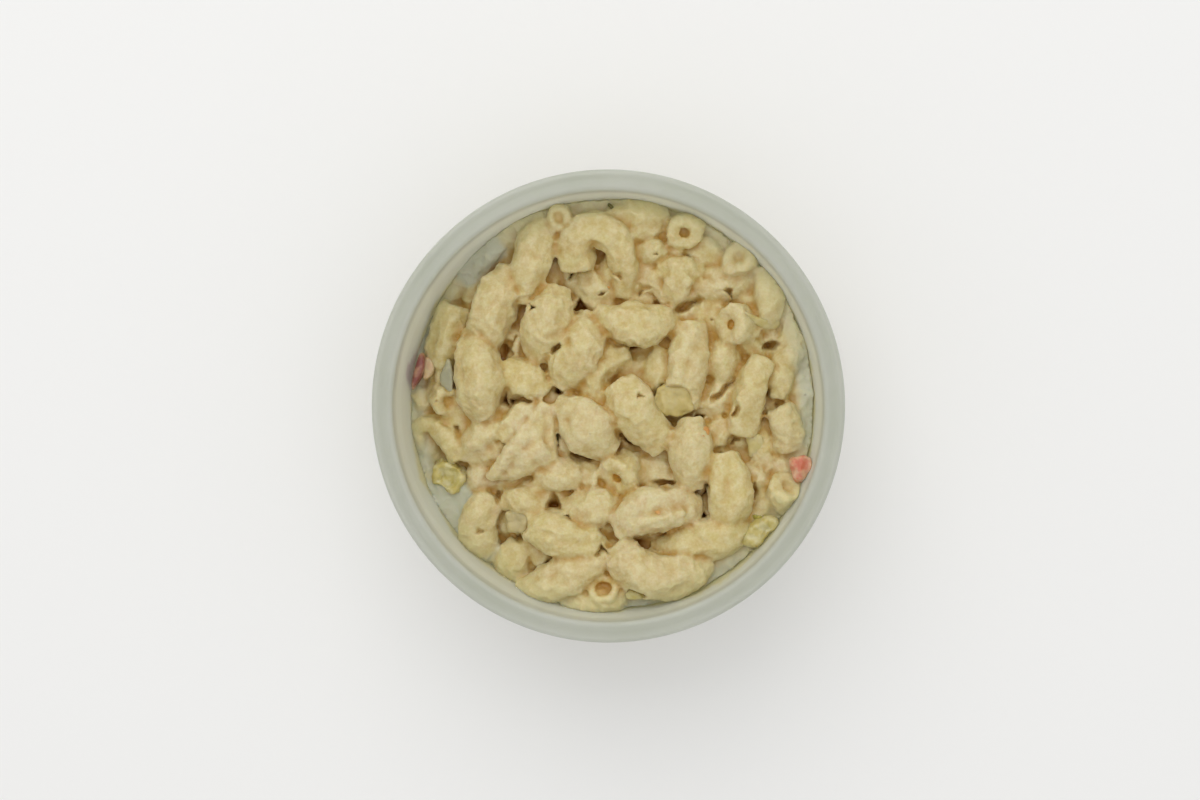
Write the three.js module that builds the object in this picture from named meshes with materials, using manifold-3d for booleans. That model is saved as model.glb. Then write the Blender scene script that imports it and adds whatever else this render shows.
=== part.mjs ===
// Macaroni salad heaped in a round, frosted plastic tub.
// Millimetres, +Z up. The origin is the middle of the foot that the tub stands on.
// The tub is a thin turned shell with a stacking step and a rolled rim. The salad is one solid: a core that
// fills the tub, with the elbows that show on top fused to it. Bits of vegetable lie in it as pieces of their own.
import * as THREE from "three";
import { mergeVertices } from "three/addons/utils/BufferGeometryUtils.js";
import Module from "manifold-3d";

const wasm = await Module();
wasm.setup();

// Driving sizes of the tub
const TUB_HEIGHT = 60;
const RIM_RADIUS = 58.5;
const MOUTH_RADIUS = 53.2;
const FOOT_RADIUS = 48;
const FOOT_CHAMFER = 0.8;
const FOOT_RING_WIDTH = 3.4;
const FOOT_RING_SLOPE = 1.2;
const UNDERSIDE_LEVEL = 1.4;
const WALL = 1.1;
const WALL_FLARE_AT_FOOT = 0.9;
const FLOOR_LEVEL = 2.6;
const FLOOR_CORNER = 3;
const STEP_LEVEL = 51.5;
const STEP_RISE = 1;
const STEP_WIDTH = 0.7;
const LIP_RADIUS = 1;
const BEAD_WIDTH = 2.3;
const BEAD_DROP = 1.5;
const GROOVE_WIDTH = 0.3;
const GROOVE_RISE = 0.2;
const SHELF_DROP_AT_WALL = 0.7;
const SHELF_DROP_AT_SKIRT = 0.9;
const SKIRT_DEPTH = 3.4;
const SKIRT_START = 1;
const TUB_SIDES = 48;

// Driving sizes of the salad
const GAP = 0.3;
const CROWN_LEVEL = 45.2;
const EDGE_RISE = 2.4;
const HOLLOW_DROP = 7;
const HOLLOW_BEARING = THREE.MathUtils.degToRad(187);
const HOLLOW_WITHIN = THREE.MathUtils.degToRad(40);
const HOLLOW_BEYOND = THREE.MathUtils.degToRad(75);
const HOLLOW_START = 0.55;
const CORE_DEPTH = 2;
const CORE_WALL_LEVEL = 40;
const CORE_RINGS = 7;
const CORE_SIDES = 36;
const CORE_LUMP = 0.7;
const CORE_RIPPLE = 0.4;
const LIFT_SHARE = 0.8;
const TOP_LIMIT = 54.6;
const ELBOW_SIDES = 8;
const SMALL_ELBOW_SIDES = 6;
const SMALL_ELBOW_WIDTH = 8;
const ELBOW_RING_SPACING = 5;
const DRESSING = 0.35;
const END_TAPER = 0.25;
const END_TAPER_START = 0.6;
const BORE_SHARE = 0.5;
const BORE_TAPER = 0.8;
const BORE_DEPTH = 3;
const BORE_SIDES = 6;

// Driving shares of the bits of vegetable
const CHUNK_WEAR = 0.09;
const CHUNK_UNEVENNESS = 0.06;
const SLICE_TAPER = 0.4;
const SLICE_BEND_SHARE = 0.9;
const SLICE_ARC = 1.1;

// The places below are as they look from an eye above the tub, level with the rim's plane.
const EYE = new THREE.Vector3(14, 14, TUB_HEIGHT + 410);

const COLOURS = {
  tub: 0xc9cbbf,
  salad: 0xd9c79a,
  celery: 0xc3c96f,
  pepper: 0xc4482f,
  onion: 0x6f2233,
};

// Elbows that show, each with its middle in plan, its heading in degrees, and its length and width.
// bend is the arc in degrees. roll turns the arc: 0 lies flat and bulges to the left of the heading,
// 90 stands up as a hump and 180 bulges to the right. pitch lifts the heading end. lift is against the mound.
const ELBOWS = [
  // Along the far wall
  { at: [-6.6, 47.2], heading: 0, long: 15, wide: 6.8, lift: -2.5, open: "tail" },
  { at: [-23.4, 42.0], heading: 30, long: 14, wide: 7.6, lift: -2 },
  { at: [-19.5, 37.9], heading: 100, long: 15.5, wide: 8.6, lift: 1 },
  { at: [-1.7, 39.6], heading: -20, long: 19.6, wide: 8, bend: 160, roll: 0, lift: 2 },
  { at: [6.9, 47.0], heading: 15, long: 15.3, wide: 7.2, lift: 0 },
  { at: [8.1, 43.2], heading: 20, long: 12, wide: 7, lift: 0.5 },
  { at: [18.7, 43.4], heading: 60, long: 12, wide: 9.1, bend: 20, pitch: 74, lift: 0, open: "head" },
  { at: [25.6, 40.4], heading: 90, long: 12, wide: 7, lift: -2 },
  { at: [32.3, 36.9], heading: -70, long: 14, wide: 8.9, bend: 50, pitch: -55, lift: -1, open: "tail" },
  { at: [10.6, 38.5], heading: 20, long: 13, wide: 7, lift: 0 },
  { at: [15.5, 30.8], heading: 5, long: 14.8, wide: 8.8, roll: 150, bend: 80, lift: 1 },
  { at: [26.4, 31.3], heading: 5, long: 15.5, wide: 7.4, bend: 30, lift: 0 },
  { at: [-4.7, 30.3], heading: 20, long: 10, wide: 7, lift: -3 },
  { at: [38.9, 27.1], heading: 97, long: 17, wide: 8.9, roll: 30, lift: 0 },

  // Left side
  { at: [-38.2, 29.0], heading: 40, long: 14, wide: 7, lift: -2.5 },
  { at: [-26.8, 25.9], heading: 66, long: 19.5, wide: 10.3, bend: 50, lift: 2.5 },
  { at: [-14.8, 20.9], heading: 62, long: 18.5, wide: 9.4, bend: 60, lift: 1.5 },
  { at: [-39.0, 17.7], heading: 75, long: 16.5, wide: 8.4, bend: 60, roll: 40, lift: 0.5 },
  { at: [-31.8, 8.4], heading: 70, long: 20, wide: 11, bend: 40, lift: 2.5 },
  { at: [-41.4, 1.0], heading: 5, long: 12.5, wide: 7.4, lift: -1 },
  { at: [-40.2, -8.2], heading: -15, long: 17, wide: 7.4, bend: 110, roll: 0, lift: -0.5 },
  { at: [-30.5, -7.4], heading: 50, long: 17.5, wide: 8, lift: 0 },
  { at: [-23.4, -4.9], heading: 60, long: 13, wide: 7.2, lift: 1 },
  { at: [-20.7, -10.4], heading: 52, long: 23, wide: 10, bend: 50, roll: 120, lift: 2 },
  { at: [-19.5, 5.7], heading: -25, long: 13, wide: 8.4, bend: 50, lift: 0 },

  // Middle
  { at: [-7.4, 13.5], heading: 57, long: 20, wide: 11, bend: 50, lift: 2 },
  { at: [-0.7, 6.7], heading: 75, long: 22, wide: 8, bend: 90, roll: 15, lift: 0.5 },
  { at: [7.4, -1.2], heading: -45, long: 20, wide: 9.4, bend: 60, lift: 3 },
  { at: [-5.7, -4.4], heading: -45, long: 21.5, wide: 11, bend: 60, lift: 2.5 },
  { at: [6.7, 20.9], heading: -10, long: 23, wide: 10.8, bend: 60, lift: 3 },
  { at: [11.3, 8.4], heading: 70, long: 15, wide: 7.2, lift: 0 },
  { at: [20.4, 9.6], heading: 80, long: 23.5, wide: 8.9, bend: 45, lift: 2.5 },
  { at: [27.6, 8.4], heading: 72, long: 15.5, wide: 7, lift: 0 },
  { at: [23.4, 23.2], heading: 15, long: 13, wide: 7, lift: -2 },
  { at: [31.8, 20.7], heading: 185, long: 14, wide: 9, bend: 30, pitch: 42, lift: 1, open: "head" },

  // Right side
  { at: [35.2, 3.4], heading: 85, long: 22, wide: 8.6, bend: 40, lift: 1.5, open: "tail" },
  { at: [42.9, 7.6], heading: 90, long: 13, wide: 6.8, lift: -0.5 },
  { at: [44.1, -5.4], heading: 88, long: 15, wide: 8.4, lift: 0 },
  { at: [45.2, 17.0], heading: 0, long: 11, wide: 7, lift: -1 },
  { at: [47.4, -8.0], heading: 75, long: 12, wide: 6.6, lift: -1.5 },
  { at: [43.6, -20.3], heading: 50, long: 15, wide: 9, bend: 40, pitch: 25, lift: 0, open: "head" },
  { at: [38.2, -14.0], heading: 40, long: 9, wide: 6.6, bend: 20, pitch: 70, lift: -1.5, open: "head" },
  { at: [29.6, -19.7], heading: 97, long: 21.5, wide: 9.4, bend: 50, roll: 60, lift: 2 },
  { at: [20.4, -10.8], heading: 92, long: 18, wide: 10.3, bend: 60, lift: 2.5 },
  { at: [27.3, -5.8], heading: 30, long: 11, wide: 7, lift: 0 },

  // Near side
  { at: [12.1, -13.1], heading: 60, long: 13, wide: 6.8, lift: -1.5 },
  { at: [12.3, -25.9], heading: 8, long: 22, wide: 11, bend: 50, lift: 2.5 },
  { at: [3.0, -17.0], heading: 82, long: 12, wide: 7, bend: 30, pitch: 45, lift: 1, open: "head" },
  { at: [-5.4, -16.5], heading: 8, long: 12, wide: 7.2, lift: 0 },
  { at: [-12.6, -16.9], heading: 5, long: 11, wide: 7.8, lift: 0 },
  { at: [-4.2, -24.9], heading: 20, long: 15, wide: 9.4, lift: 0.5 },
  { at: [-20.7, -23.6], heading: -20, long: 13, wide: 7.4, lift: 0 },
  { at: [-9.9, -31.5], heading: -15, long: 20, wide: 9.8, bend: 70, roll: 150, lift: 2 },
  { at: [-30.4, -29.4], heading: 70, long: 16.5, wide: 8.8, bend: 60, roll: 0, lift: 1, open: "tail" },
  { at: [-23.0, -37.8], heading: 45, long: 14.5, wide: 8, lift: 0.5 },
  { at: [-11.6, -42.4], heading: 20, long: 23, wide: 9.2, bend: 40, roll: 60, lift: 1.5 },
  { at: [-3.0, -47.2], heading: 8, long: 16, wide: 7.6, bend: 70, roll: 0, lift: 2 },
  { at: [12.1, -40.2], heading: -15, long: 24, wide: 10.4, bend: 70, roll: 150, lift: 2.5 },
  { at: [24.1, -32.8], heading: 17, long: 21.5, wide: 8.9, bend: 50, lift: 0.5 },
  { at: [19.5, -43.6], heading: 12, long: 14, wide: 7, lift: -3 },
  { at: [14.8, -33.5], heading: 0, long: 12, wide: 6.8, lift: -2 },
];

// Bits of vegetable that show, with the size of each along its own three axes
const VEGETABLES = [
  { name: "celery_chunk_right", form: "chunk", at: [37.4, -29.4], heading: 25, size: [10.4, 8, 6.5], lift: 0.5 },
  { name: "celery_chunk_left", form: "chunk", at: [-39.0, -17.4], heading: 70, size: [8.6, 7.2, 6], lift: 0 },
  { name: "celery_slice_middle", form: "slice", at: [16.9, 1.0], heading: 35, size: [12, 8, 2.2], lift: 6.2 },
  { name: "celery_strip_far", form: "slice", at: [38.4, 20.6], heading: -18, size: [9.5, 3, 1.6], lift: 4.4 },
  { name: "celery_bit_near", form: "slice", at: [-22.0, -28.8], heading: 60, size: [7.5, 6, 2], lift: 2.8 },
  { name: "red_pepper_dice", form: "chunk", at: [47.9, -14.7], heading: 15, size: [6.2, 5.8, 5.4], lift: 2 },
  { name: "red_onion_sliver", form: "slice", at: [-46.6, 9.0], heading: 71, size: [11, 2.6, 7], lift: 1 },
];

const turn = (degrees) => THREE.MathUtils.degToRad(degrees);

/** Radius of the tub's inner wall at a level. */
function innerRadius(level) {
  const footInside = FOOT_RADIUS - WALL + WALL_FLARE_AT_FOOT;
  const stepInside = MOUTH_RADIUS - STEP_WIDTH;
  if (level >= STEP_LEVEL + STEP_RISE) return MOUTH_RADIUS;
  return footInside + ((stepInside - footInside) * (level - FLOOR_LEVEL)) / (STEP_LEVEL - FLOOR_LEVEL);
}

/** Points on a quarter circle from one bearing to another, for a profile of radius and level. */
function arcPoints(radius, level, size, from, to, count) {
  const points = [];
  for (let i = 0; i <= count; i += 1) {
    const angle = turn(from + ((to - from) * i) / count);
    points.push(new THREE.Vector2(radius + size * Math.cos(angle), level + size * Math.sin(angle)));
  }
  return points;
}

/** The tub's section, from the middle of its underside out, up, over the rim and back down inside. */
function tubProfile() {
  const beadRadius = BEAD_WIDTH / 2;
  const beadLevel = TUB_HEIGHT - BEAD_DROP;
  const skirtLevel = TUB_HEIGHT - SKIRT_START - SKIRT_DEPTH;
  const profile = [
    new THREE.Vector2(0, UNDERSIDE_LEVEL),
    new THREE.Vector2(FOOT_RADIUS - FOOT_RING_WIDTH - FOOT_RING_SLOPE, UNDERSIDE_LEVEL),
    new THREE.Vector2(FOOT_RADIUS - FOOT_RING_WIDTH, 0),
    new THREE.Vector2(FOOT_RADIUS - FOOT_CHAMFER, 0),
    new THREE.Vector2(FOOT_RADIUS, FOOT_CHAMFER),
    new THREE.Vector2(innerRadius(STEP_LEVEL) + WALL, STEP_LEVEL),
    new THREE.Vector2(MOUTH_RADIUS + WALL, STEP_LEVEL + STEP_RISE),
    new THREE.Vector2(MOUTH_RADIUS + WALL, beadLevel - SHELF_DROP_AT_WALL),
    new THREE.Vector2(RIM_RADIUS - WALL, beadLevel - SHELF_DROP_AT_SKIRT),
    new THREE.Vector2(RIM_RADIUS - WALL, skirtLevel),
    new THREE.Vector2(RIM_RADIUS, skirtLevel),
    ...arcPoints(RIM_RADIUS - beadRadius, beadLevel, beadRadius, 0, 140, 3),
    new THREE.Vector2(RIM_RADIUS - BEAD_WIDTH - GROOVE_WIDTH, beadLevel + GROOVE_RISE),
    ...arcPoints(MOUTH_RADIUS + LIP_RADIUS, TUB_HEIGHT - LIP_RADIUS, LIP_RADIUS, 40, 180, 3),
    new THREE.Vector2(MOUTH_RADIUS, STEP_LEVEL + STEP_RISE),
    new THREE.Vector2(innerRadius(STEP_LEVEL), STEP_LEVEL),
  ];
  const corner = FLOOR_LEVEL + FLOOR_CORNER;
  profile.push(...arcPoints(innerRadius(corner) - FLOOR_CORNER, corner, FLOOR_CORNER, 0, -90, 3));
  profile.push(new THREE.Vector2(0, FLOOR_LEVEL));
  return profile;
}

/** A body turned about +Z from a section of radius and level. */
function turned(profile, sides) {
  return new THREE.LatheGeometry(profile, sides).rotateX(Math.PI / 2);
}

/** Section of the space that food may take in the tub, a gap inside the wall, up to a level. */
function fillProfile(top) {
  const corner = FLOOR_LEVEL + FLOOR_CORNER;
  const size = FLOOR_CORNER - GAP;
  const profile = [
    new THREE.Vector2(0, FLOOR_LEVEL + GAP),
    ...arcPoints(innerRadius(corner) - FLOOR_CORNER, corner, size, -90, 0, 2),
  ];
  if (top > STEP_LEVEL) profile.push(new THREE.Vector2(innerRadius(STEP_LEVEL) - GAP, STEP_LEVEL));
  profile.push(new THREE.Vector2(innerRadius(Math.min(top, STEP_LEVEL)) - GAP, top));
  return profile;
}

/** Level of the mound that the elbows' middles lie on: it climbs a little to the wall, but sinks on one side. */
function moundLevel(x, y) {
  const share = Math.min(Math.hypot(x, y) / MOUTH_RADIUS, 1);
  const bearing = Math.atan2(y, x);
  const off = Math.atan2(Math.sin(bearing - HOLLOW_BEARING), Math.cos(bearing - HOLLOW_BEARING));
  const facing = 1 - THREE.MathUtils.smoothstep(Math.abs(off), HOLLOW_WITHIN, HOLLOW_BEYOND);
  const hollow = facing * THREE.MathUtils.smoothstep(share, HOLLOW_START, 1);
  return CROWN_LEVEL + EDGE_RISE * share ** 3 - HOLLOW_DROP * hollow;
}

/** Level of the core's lumpy top, which shows only between the elbows. */
function coreLevel(x, y) {
  const lumps = CORE_LUMP * Math.sin(0.42 * x + 1.3) * Math.cos(0.47 * y - 0.4);
  const ripples = CORE_RIPPLE * Math.sin(0.9 * y + 0.31 * x);
  return moundLevel(x, y) - CORE_DEPTH + lumps + ripples;
}

/** Point on a level that is seen at a place in plan from the eye. */
function underSight(x, y, level) {
  const reach = (EYE.z - level) / (EYE.z - TUB_HEIGHT);
  return new THREE.Vector3(EYE.x + (x - EYE.x) * reach, EYE.y + (y - EYE.y) * reach, level);
}

/** A closed manifold solid from a geometry. */
function solid(geometry) {
  const bare = geometry.clone();
  bare.deleteAttribute("normal");
  bare.deleteAttribute("uv");
  const merged = mergeVertices(bare, 1e-4);
  const mesh = new wasm.Mesh({
    numProp: 3,
    vertProperties: new Float32Array(merged.attributes.position.array),
    triVerts: new Uint32Array(merged.index.array),
  });
  return new wasm.Manifold(mesh);
}

/** A geometry with flat shading from a manifold solid. */
function geometryOf(body) {
  const mesh = body.getMesh();
  const geometry = new THREE.BufferGeometry();
  geometry.setAttribute("position", new THREE.BufferAttribute(new Float32Array(mesh.vertProperties), 3));
  geometry.setIndex(new THREE.BufferAttribute(new Uint32Array(mesh.triVerts), 1));
  geometry.computeVertexNormals();
  return geometry;
}

/** The largest of a solid's separate bodies, without the scraps. */
function largest(body) {
  return body.decompose().reduce((best, each) => (each.volume() > best.volume() ? each : best));
}

/** Turns and places a piece whose own X is its heading and Z is up. */
function placed(geometry, { at, heading, roll = 90, pitch = 0, lift = 0 }) {
  const place = underSight(at[0], at[1], moundLevel(at[0], at[1]) + LIFT_SHARE * lift);
  return geometry
    .rotateX(turn(roll))
    .rotateY(-turn(pitch))
    .rotateZ(turn(heading))
    .translate(place.x, place.y, place.z);
}

/** Bends a straight bar along X into an arc that bulges to +Y, its middle kept at the origin. */
function bentAlong(geometry, radius, arc) {
  const point = new THREE.Vector3();
  const position = geometry.attributes.position;
  const middle = (radius * (1 + Math.cos(arc / 2))) / 2;
  for (let i = 0; i < position.count; i += 1) {
    point.fromBufferAttribute(position, i);
    const along = point.x / radius;
    const reach = radius + point.y;
    position.setXYZ(i, reach * Math.sin(along), reach * Math.cos(along) - middle, point.z);
  }
  return geometry;
}

/** Sizes of an elbow with its coat of dressing, and of the arc down its middle. */
function elbowArc({ long, wide, bend = 60 }) {
  const arc = turn(bend);
  const thick = wide + 2 * DRESSING;
  const span = long + 2 * DRESSING - thick * Math.sin(arc / 2);
  const radius = span / (2 * Math.sin(arc / 2));
  return { arc, radius, thick, length: radius * arc };
}

/** One elbow with its ends rounded by dressing, at the origin. */
function elbowShape(elbow) {
  const { arc, radius, thick, length } = elbowArc(elbow);
  const steps = Math.max(3, Math.round(elbow.long / ELBOW_RING_SPACING));
  const sides = elbow.wide > SMALL_ELBOW_WIDTH ? ELBOW_SIDES : SMALL_ELBOW_SIDES;
  const bar = new THREE.CylinderGeometry(thick / 2, thick / 2, length, sides, steps);
  bar.rotateZ(-Math.PI / 2);
  const position = bar.attributes.position;
  for (let i = 0; i < position.count; i += 1) {
    const end = Math.abs(position.getX(i)) / (length / 2);
    const taper = 1 - END_TAPER * THREE.MathUtils.smoothstep(end, END_TAPER_START, 1);
    position.setY(i, position.getY(i) * taper);
    position.setZ(i, position.getZ(i) * taper);
  }
  return bentAlong(bar, radius, arc);
}

/** The hollow that shows in an elbow's open end, at the origin. */
function boreShape(elbow) {
  const { arc, radius, length } = elbowArc(elbow);
  const size = (elbow.wide / 2) * BORE_SHARE;
  const bore = new THREE.CylinderGeometry(size, size * BORE_TAPER, BORE_DEPTH * 2, BORE_SIDES, 1);
  bore.rotateZ(-Math.PI / 2).translate(length / 2, 0, 0);
  if (elbow.open === "tail") bore.rotateY(Math.PI);
  return bentAlong(bore, radius, arc);
}

/** The salad's core: what fills the tub, up to its lumpy top. */
function coreShape() {
  const rise = fillProfile(CORE_WALL_LEVEL);
  const profile = [...rise];
  for (let i = 1; i <= CORE_RINGS; i += 1) {
    profile.push(new THREE.Vector2(rise.at(-1).x * (1 - i / CORE_RINGS), CORE_WALL_LEVEL));
  }
  const core = turned(profile, CORE_SIDES);
  const position = core.attributes.position;
  for (let i = 0; i < position.count; i += 1) {
    if (Math.abs(position.getZ(i) - CORE_WALL_LEVEL) > 1e-3) continue;
    const x = position.getX(i);
    const y = position.getY(i);
    const level = coreLevel(x, y);
    const isWall = Math.hypot(x, y) > rise.at(-1).x - 0.01;
    const grow = isWall ? (innerRadius(level) - GAP) / (innerRadius(CORE_WALL_LEVEL) - GAP) : 1;
    position.setXYZ(i, x * grow, y * grow, level);
  }
  return core;
}

/** A block with its corners worn round and its faces uneven. */
function chunkShape([length, width, height]) {
  const chunk = new THREE.BoxGeometry(length, width, height, 2, 2, 2);
  const position = chunk.attributes.position;
  for (let i = 0; i < position.count; i += 1) {
    const x = position.getX(i) / (length / 2);
    const y = position.getY(i) / (width / 2);
    const z = position.getZ(i) / (height / 2);
    const worn = 1 - CHUNK_WEAR * (x * x + y * y + z * z - 1);
    const uneven = 1 + CHUNK_UNEVENNESS * Math.sin(3.1 * x + 1.7 * y + 2.3 * z);
    position.setXYZ(i, position.getX(i) * worn * uneven, position.getY(i) * worn, position.getZ(i) * worn);
  }
  return chunk;
}

/** A thin slice, curved like the stalk or layer that it was cut from. */
function sliceShape([length, width, height]) {
  const lying = height <= width;
  const slice = new THREE.BoxGeometry(length, width, height, 6, lying ? 2 : 1, lying ? 1 : 2);
  const position = slice.attributes.position;
  for (let i = 0; i < position.count; i += 1) {
    const end = Math.abs(position.getX(i)) / (length / 2);
    const narrow = 1 - SLICE_TAPER * end ** 3;
    if (lying) position.setY(i, position.getY(i) * narrow);
    else position.setZ(i, position.getZ(i) * narrow);
  }
  return bentAlong(slice, length * SLICE_BEND_SHARE, SLICE_ARC);
}

/** One bit of vegetable in its place, kept clear of the wall. */
function vegetableSolid({ form, size, ...place }, room) {
  const shape = form === "chunk" ? chunkShape(size) : sliceShape(size);
  return largest(solid(placed(shape, { ...place, roll: 0 })).intersect(room));
}

/** The room that a bit of vegetable takes in the salad: itself and the gap round it. */
function vegetableRoom({ form, size, ...place }) {
  const grown = size.map((each) => each + 2 * GAP);
  const shape = form === "chunk" ? chunkShape(grown) : sliceShape(grown);
  return solid(placed(shape, { ...place, roll: 0 }));
}

/** The salad as one solid. */
function saladSolid(room) {
  const elbows = ELBOWS.map((elbow) => solid(placed(elbowShape(elbow), elbow)));
  const bores = ELBOWS.filter((elbow) => elbow.open).map((elbow) => solid(placed(boreShape(elbow), elbow)));
  const toppings = VEGETABLES.map(vegetableRoom);
  const heap = wasm.Manifold.union([solid(coreShape()), ...elbows]);
  const cut = wasm.Manifold.union([...bores, ...toppings]);
  return largest(heap.intersect(room).subtract(cut));
}

/** A named piece with its finish. */
function piece(name, geometry, colour, roughness) {
  const finish = { color: colour, roughness, metalness: 0 };
  const mesh = new THREE.Mesh(geometry, new THREE.MeshStandardMaterial(finish));
  mesh.name = name;
  return mesh;
}

/** Colour of a bit of vegetable, from its name. */
function vegetableColour(name) {
  if (name.startsWith("red_pepper")) return COLOURS.pepper;
  return name.startsWith("red_onion") ? COLOURS.onion : COLOURS.celery;
}

const tubOfSalad = new THREE.Group();
const foodRoom = solid(turned([...fillProfile(TOP_LIMIT), new THREE.Vector2(0, TOP_LIMIT)], TUB_SIDES));

tubOfSalad.add(piece("tub", turned(tubProfile(), TUB_SIDES), COLOURS.tub, 0.4));
tubOfSalad.add(piece("macaroni_heap", geometryOf(saladSolid(foodRoom)), COLOURS.salad, 0.5));
for (const bit of VEGETABLES) {
  const geometry = geometryOf(vegetableSolid(bit, foodRoom));
  tubOfSalad.add(piece(bit.name, geometry, vegetableColour(bit.name), 0.45));
}

export default tubOfSalad;
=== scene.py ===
"""Looks of a tub of macaroni salad: frosted plastic, elbows coated in creamy dressing, and bits of vegetable.

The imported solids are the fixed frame. Sizes are worked out in millimetres and written to Blender in metres.
Places in plan are as they look from an eye above the tub, level with the rim, and each piece is put on the
level of the mound under that line of sight.
"""

from __future__ import annotations

import logging
import math
from dataclasses import dataclass, field, replace
from enum import Enum
from typing import Sequence

import bpy
import numpy as np
from mathutils import Matrix, Vector, kdtree, noise

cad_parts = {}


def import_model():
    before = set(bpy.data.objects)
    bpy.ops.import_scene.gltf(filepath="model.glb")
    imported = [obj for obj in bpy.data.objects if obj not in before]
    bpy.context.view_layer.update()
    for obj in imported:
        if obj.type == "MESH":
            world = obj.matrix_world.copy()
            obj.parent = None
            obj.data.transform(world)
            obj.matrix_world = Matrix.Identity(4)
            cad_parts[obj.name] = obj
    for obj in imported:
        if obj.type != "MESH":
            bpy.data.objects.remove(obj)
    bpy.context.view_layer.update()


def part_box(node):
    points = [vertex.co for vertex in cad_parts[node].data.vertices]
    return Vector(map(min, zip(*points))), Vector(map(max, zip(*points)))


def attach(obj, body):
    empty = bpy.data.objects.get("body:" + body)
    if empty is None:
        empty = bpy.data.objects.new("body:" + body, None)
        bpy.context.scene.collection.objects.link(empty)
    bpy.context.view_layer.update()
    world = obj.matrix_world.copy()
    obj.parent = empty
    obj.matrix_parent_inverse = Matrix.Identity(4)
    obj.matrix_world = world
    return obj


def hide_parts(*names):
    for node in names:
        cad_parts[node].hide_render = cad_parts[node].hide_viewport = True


LOG = logging.getLogger("macaroni_tub")
MM = 0.001
BODY = "root"
PICTURE_WIDTH = 1200
RIM_RIGHT_OF_MIDDLE = 7.0
RIM_BELOW_MIDDLE = 7.15
BIT_VOXEL = 0.3
BIT_CLEARANCE = 0.12
STEEPEST = 0.8
Colour = tuple[float, float, float]
Plan = np.ndarray | float


def srgb(red: int, green: int, blue: int) -> Colour:
    """Turns a display colour, each channel from 0 to 255, into the linear values that a shader takes."""
    def linear(value: int) -> float:
        """One channel."""
        share = value / 255
        return share / 12.92 if share <= 0.04045 else ((share + 0.055) / 1.055) ** 2.4

    return (linear(red), linear(green), linear(blue))


def ease(value: Plan, low: float, high: float) -> Plan:
    """Smooth step from 0 at low to 1 at high."""
    share = np.clip((np.asarray(value, float) - low) / (high - low), 0.0, 1.0)
    return share * share * (3 - 2 * share)


def noise_at(points: np.ndarray, scale: float, shift: Sequence[float] = (0, 0, 0)) -> np.ndarray:
    """Smooth noise from -1 to 1 at points that are scaled and then shifted."""
    return np.array([noise.noise(Vector(p)) for p in points * scale + np.asarray(shift, float)])


def spline(p0: np.ndarray, p1: np.ndarray, p2: np.ndarray, p3: np.ndarray, t: float) -> np.ndarray:
    """Point between the second and third of four knots, on the smooth curve through them."""
    return 0.5 * (2 * p1 + (p2 - p0) * t + (2 * p0 - 5 * p1 + 4 * p2 - p3) * t**2
                  + (3 * p1 - p0 - 3 * p2 + p3) * t**3)


def off_bearing(x: Plan, y: Plan, middle: float) -> Plan:
    """Degrees from a bearing to places in plan, from -180 to 180."""
    return (np.degrees(np.arctan2(y, x)) - middle + 180) % 360 - 180


def circle(count: int) -> np.ndarray:
    """Even angles round a full turn."""
    return np.arange(count) * 2 * math.pi / count


def ring_at(angles: np.ndarray, radius: Plan, level: Plan) -> np.ndarray:
    """Points round the axis, at a radius and a level."""
    return np.column_stack([radius * np.cos(angles), radius * np.sin(angles), np.zeros(len(angles)) + level])


class End(Enum):
    """What shows at an end of an elbow."""

    CAPPED = "rounded over by dressing"
    OPEN = "a hollow that can be seen into"
    FILLED = "a shallow hollow full of dressing"


@dataclass(frozen=True)
class TubSizes:
    """Sizes of the tub, in millimetres, about the axis of the frame."""

    height: float
    rim_radius: float
    mouth_radius: float = 53.2
    foot_radius: float = 48.0
    foot_flare: float = 0.9
    wall: float = 1.1
    floor_level: float = 2.6
    corner: float = 3.0
    step_level: float = 51.5
    step_rise: float = 2.0
    step_width: float = 0.7
    gap: float = 0.3

    @classmethod
    def from_frame(cls) -> "TubSizes":
        """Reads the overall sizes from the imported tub."""
        low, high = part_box("tub")
        return cls(height=high.z / MM, rim_radius=(high.x - low.x) / 2 / MM)

    def inner_radius(self, level: Plan) -> Plan:
        """Radius of the inner wall at a level."""
        foot = self.foot_radius - self.wall + self.foot_flare
        step = self.mouth_radius - self.step_width
        share = (np.asarray(level, float) - self.floor_level) / (self.step_level - self.floor_level)
        straight = foot + (step - foot) * np.clip(share, 0, 1)
        return straight + self.step_width * ease(level, self.step_level, self.step_level + self.step_rise)

    def press_in(self, piece: "MeshPiece", gap: float) -> None:
        """Flattens what would pass through the tub's wall.

        Args:
            piece: The piece that lies in the tub.
            gap: How far it stays off the wall.
        """
        points = piece.points
        room = self.inner_radius(points[:, 2]) - gap
        radius = np.hypot(points[:, 0], points[:, 1])
        share = np.where(radius > room, room / np.maximum(radius, 1e-6), 1)
        points[:, :2] *= share[:, None]
        piece.points = points


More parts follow.
